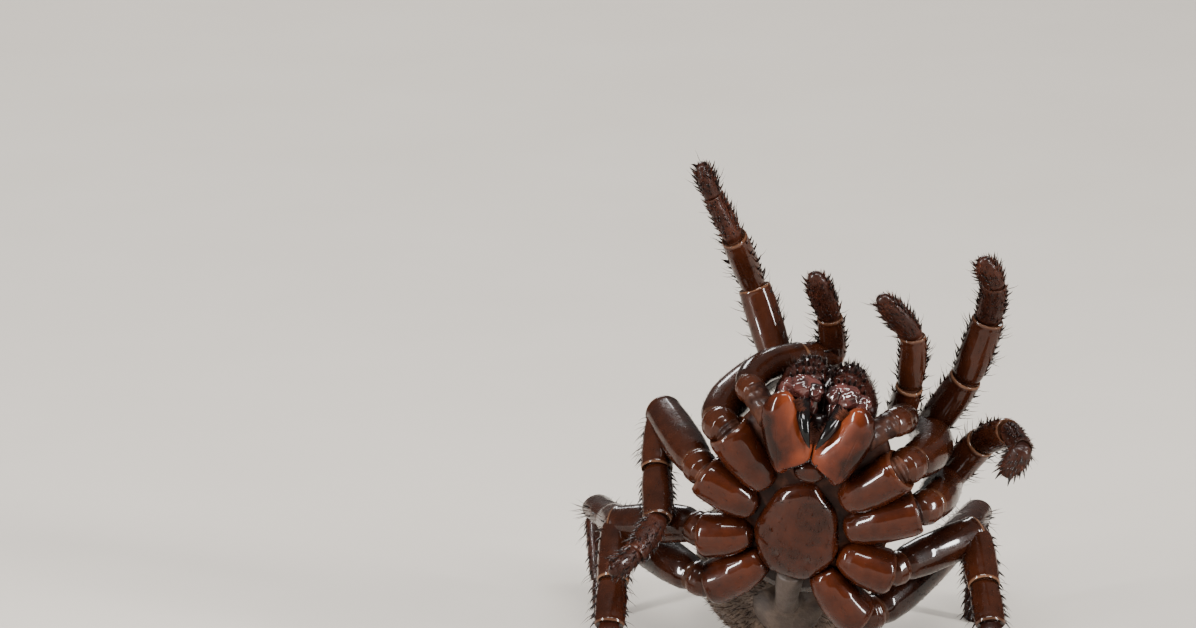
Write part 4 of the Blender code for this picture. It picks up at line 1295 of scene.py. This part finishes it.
def abdomen_point(x, y, z):
    """Where points of the unit sphere lie on the abdomen: an egg, thicker in front, with soft dimples."""
    shape = np.stack([x * (1 - 0.12 * y * y), y, z * (1 - 0.08 * y)], -1)
    folds = 0.006 * np.sin(y * 26 + 2.5 * np.cos(x * 3)) * smooth_step(np.abs(y), 0.25, 0.9)
    dimples = sum(0.02 * oval(np.abs(x), y, (0.26, row), (0.06, 0.06)) * (z > 0) for row in DIMPLE_ROWS)
    return ABDOMEN_MIDDLE + ABDOMEN_HALF * shape * (1 - 0.012 + folds - dimples)[..., None]


def abdomen():
    """The soft hind body, flat where it lies on the floor, with faint bands above and pale lung covers."""
    x, y, z = ball_rings(150, 150)
    lungs = sum(oval(np.abs(x), y, (0.42, row), (0.17, 0.09)) * (z < 0) for row in LUNG_ROWS)
    bands = 0.5 + 0.5 * np.sin(y * 13 + 5 * np.abs(x))
    tone = 0.35 + 0.18 * bands * smooth_step(z, 0.1, 0.6) + 0.55 * lungs
    return on_floor(closed_skin(abdomen_point(x, y, z), np.clip(tone, 0, 1)))


# Hair on the abdomen: its look, and its number, length and radius
ABDOMEN_HAIR = {
    "coat": (BROWN_HAIR, (17000, 0.42, 0.019)),
    "bristles": (DARK_HAIR, (2300, 0.8, 0.022)),
}


def abdomen_coat(chance, number, length, radius):
    """Hair over the abdomen that lies back, of about this length and thickness."""
    y = chance.uniform(-0.97, 0.985, number)
    angle = chance.uniform(0, 2 * pi, number)
    ring = np.sqrt(1 - y**2)
    x, z = ring * np.cos(angle), ring * np.sin(angle)
    points = abdomen_point(x, y, z)
    out = unit(np.stack([x, y, z], -1) / ABDOMEN_HALF)
    keep = points[:, 2] > 0.12
    points, out, y, angle = points[keep], out[keep], y[keep], angle[keep]
    back = np.array((0.0, 1.0, 0.0))
    back = unit(back - out * (out @ back)[:, None])
    ways = out * chance.uniform(0.25, 0.6, (len(y), 1)) + back + chance.normal(0, 0.22, out.shape)
    bends = back * 0.1 - out * 0.12
    sizes = length * chance.uniform(0.6, 1.3, len(y))
    place = np.stack([(angle / (2 * pi)) % 1, 0.5 + 0.48 * y], -1)
    return on_floor(thorns(points - out * 0.04, ways, bends, sizes, radius, COAT_PROFILE, 3, place))


def pedicel():
    """The thin waist, in the abdomen's skin: a tube along a bend, which widens into the abdomen."""
    back = ABDOMEN_MIDDLE + (0, 0.5 - ABDOMEN_HALF[1], -0.5)
    t, path, along = bent_path(to_world((0, -2.9, -0.1)), to_world((0, -5.3, 0.0)), back, 30)
    size = PEDICEL_RADIUS * (0.86 + 0.1 * np.cos(t * 2 * pi) + 0.02 * np.sin(t * 40))
    size = size + 1.1 * smooth_step(t, 0.72, 1.0) ** 2
    return tube(path, along, unit(np.cross(along, (1.0, 0.2, 0.0))), size[:, None], 40)


# A long spinneret's radius along it: three joints with narrower necks between
SPINNERET_PROFILE = np.array((
    (-0.25, 0.5), (0, 0.5), (0.3, 0.56), (0.38, 0.55), (0.41, 0.43), (0.46, 0.46), (0.68, 0.45), (0.72, 0.33),
    (0.8, 0.34), (0.93, 0.3), (0.98, 0.2), (1.0, 0.06),
))
SPINNERET_AROUND = 30


def spinneret(side):
    """A long spinneret: rings along a path that curves out and up."""
    out = mirrored((-SPINNERET_OUT, 0, 0), side)[0]
    root = ABDOMEN_MIDDLE + (out, ABDOMEN_HALF[1] + 0.1, -1.3)
    t = np.concatenate([[-0.25], np.linspace(0, 0.93, 36), (0.96, 0.98, 0.99, 0.997)])
    path = root + np.stack([out * 0.5 * t, SPINNERET_LENGTH * t, 0.5 * t * t], -1)
    size = np.interp(t, *SPINNERET_PROFILE.T)
    angle = around_angles(SPINNERET_AROUND)[:, None]
    ring = np.cos(angle) * SIDEWAYS + np.sin(angle) * UP
    return closed_skin(path[:, None] + ring * size[:, None, None], 0.08)


def spinneret_hair(skin, chance):
    """Short bristles from the rings of a spinneret's skin, leaning to its tip."""
    rings = skin.points[:-2].reshape(-1, SPINNERET_AROUND, 3)
    middle = rings.mean(1)
    number = 420
    level, spot = chance.integers(2, len(rings) - 3, number), chance.integers(0, SPINNERET_AROUND, number)
    out, along = unit(rings[level, spot] - middle[level]), unit(middle[-1] - middle[0])
    ways = out * 0.7 + along + chance.normal(0, 0.15, out.shape)
    lengths = chance.uniform(0.15, 0.38, number)
    place = np.stack([spot / SPINNERET_AROUND, level / len(rings)], -1)
    return thorns(rings[level, spot] - out * 0.02, ways, -out * 0.15, lengths, 0.013, uv=place)


def small_spinnerets():
    """The two short spinnerets between the long ones, thin eggs."""
    return joined([
        ball(ABDOMEN_MIDDLE + (sign * 0.26, ABDOMEN_HALF[1] - 0.1, -1.55), (0.17, 0.5, 0.17), 20, 24, 0.15)
        for sign in (-1, 1)
    ])


def build_front_body():
    """Carapace, eyes, jaws, fangs, mouth and belly plates."""
    chance = np.random.default_rng(FRONT_SEED)
    add_piece("carapace_shell", carapace(), BACK_SHELL, ["carapace"])
    add_piece("carapace_hair", carapace_hair(chance), DARK_HAIR)
    add_piece("sternum_shell", sternum(), BELLY_SHELL, ["sternum"])
    add_piece("sternum_hair", sternum_hair(chance), DARK_HAIR)
    add_piece("labium_shell", labium(), BELLY_SHELL, ["labium"])
    add_piece("side_skin", pleura(chance), JOINT_SKIN)
    # The mouth skin takes the dark jaw shell at tone 0: painted shade in the hollow between the palp bases
    # and fangs
    add_piece("mouth_skin", mouth_parts(chance), JAW_SHELL)
    for side in SIDES:
        maxilla_node, jaw_node, fang_node = f"maxilla_{side}", f"chelicera_{side}", f"fang_{side}"
        add_piece(f"{maxilla_node}_shell", maxilla(side), PALP_BASE_SHELL, [maxilla_node])
        add_piece(f"{maxilla_node}_fringe", fringe(side, chance), RED_HAIR)
        add_piece(f"{maxilla_node}_pegs", cuspules(side, chance), SPINE_SHELL)
        add_piece(f"{jaw_node}_shell", chelicera(side), JAW_SHELL, [jaw_node])
        add_piece(f"{jaw_node}_digging_teeth", digging_teeth(side, chance), SPINE_SHELL)
        add_piece(f"{jaw_node}_teeth", jaw_teeth(side), SPINE_SHELL)
        add_piece(f"{jaw_node}_hair", jaw_hair(side, chance), DARK_HAIR)
        add_piece(f"{fang_node}_shell", fang(side), FANG_SHELL, [fang_node])
        add_piece(f"{fang_node}_socket", fang_socket(side, chance), WET_SKIN)
        for row in EYES:
            add_piece(f"eye_{row}_{side}_dome", eye(row, side), EYE_GLASS, [f"eye_{row}_{side}"])


def build_hind_body():
    """Abdomen with its waist and coat, and spinnerets."""
    chance = np.random.default_rng(HIND_SEED)
    add_piece("abdomen_skin", joined([abdomen(), pedicel()]), BODY_SKIN, ["abdomen", "pedicel"])
    for name, (look, sizes) in ABDOMEN_HAIR.items():
        add_piece(f"abdomen_{name}", abdomen_coat(chance, *sizes), look)
    for side in SIDES:
        skin = spinneret(side)
        add_piece(f"spinneret_{side}_skin", skin, BODY_SKIN, [f"spinneret_{side}"])
        add_piece(f"spinneret_{side}_hair", spinneret_hair(skin, chance), DARK_HAIR)
    add_piece("spinnerets_small_skin", small_spinnerets(), BODY_SKIN)


# The room, in metres and watts. A light: place, width and height, power
FLOOR_REACH = 1.5
LIGHTS = {
    "light_left": ((-0.25, -0.17, 0.10), (0.024, 0.18), 2.1),
    "light_right": ((0.25, -0.16, 0.10), (0.024, 0.18), 2.1),
    "light_top": ((0.01, -0.18, 0.26), (0.20, 0.05), 1.5),
    "light_back": ((-0.05, 0.28, 0.20), (0.14, 0.05), 0.7),
}
LIGHT_AIM = Vector((0.0, -0.004, 0.012))


def floor():
    """A large pale floor with faint clouds."""
    mesh = bpy.data.meshes.new("floor")
    corners = [(x * FLOOR_REACH, y * FLOOR_REACH, 0) for x, y in ((-1, -1), (1, -1), (1, 1), (-1, 1))]
    mesh.from_pydata(corners, [], [(0, 1, 2, 3)])
    look = bpy.data.materials.new("pale_floor")
    look.use_nodes = True
    make = Nodes(look.node_tree)
    clouds = make.noise(make.new("ShaderNodeTexCoord").outputs["Object"], 60.0, 5.0)
    shade = make.mix(clouds, (0.44, 0.40, 0.35), (0.49, 0.45, 0.40))
    make.fill(look.node_tree.nodes["Principled BSDF"], {"Base Color": shade, "Roughness": 0.8})
    mesh.materials.append(look)
    piece = bpy.data.objects.new("floor", mesh)
    bpy.context.scene.collection.objects.link(piece)


def room():
    """A world that is dark at the horizon and pale above."""
    world = bpy.data.worlds.new("pale_room")
    world.use_nodes = True
    make = Nodes(world.node_tree)
    place = make.new("ShaderNodeTexCoord").outputs["Generated"]
    height = make.new("ShaderNodeSeparateXYZ", {0: place}).outputs["Z"]
    sky = make.mix(make.steps(height, -0.1, 0.9), (0.10, 0.10, 0.10), (0.90, 0.88, 0.85))
    make.fill(world.node_tree.nodes["Background"], {"Color": sky, "Strength": 0.5})
    bpy.context.scene.world = world


def lights():
    """Two narrow side lights, which draw line highlights, a broad one from above and a faint one behind."""
    for name, (place, size, power) in LIGHTS.items():
        lamp = bpy.data.lights.new(name, "AREA")
        lamp.shape = "RECTANGLE"
        lamp.size, lamp.size_y = size
        lamp.energy = power
        light = bpy.data.objects.new(name, lamp)
        light.location = place
        light.rotation_euler = (LIGHT_AIM - Vector(place)).to_track_quat("-Z", "Y").to_euler()
        bpy.context.scene.collection.objects.link(light)


def camera():
    """The photograph's view: level left to right, looking down, with the sternum at its pixel."""
    elevation = radians(CAMERA_ELEVATION)
    ahead = np.array((0.0, cos(elevation), -sin(elevation)))
    up = np.array((0.0, sin(elevation), cos(elevation)))
    off_right = (STERNUM_PIXEL[0] - PHOTO_WIDTH / 2) / PIXELS_PER_MM
    off_up = (PHOTO_HEIGHT / 2 - STERNUM_PIXEL[1]) / PIXELS_PER_MM
    place = STERNUM_AT - ahead * CAMERA_DISTANCE - SIDEWAYS * off_right - up * off_up + OFFSET
    lens = bpy.data.cameras.new("photo_view")
    lens.sensor_width = SENSOR_WIDTH
    lens.lens = PIXELS_PER_MM * CAMERA_DISTANCE / PHOTO_WIDTH * SENSOR_WIDTH
    lens.clip_start = 0.01
    lens.clip_end = 10.0
    view = bpy.data.objects.new("photo_view", lens)
    view.location = Vector(place * MM)
    view.rotation_euler = Vector(ahead).to_track_quat("-Z", "Y").to_euler()
    bpy.context.scene.collection.objects.link(view)
    bpy.context.scene.camera = view


build_front_body()
build_hind_body()
for number, limb in enumerate((*RAISED, *STANDING)):
    build_limb(limb, number)
floor()
room()
lights()
camera()
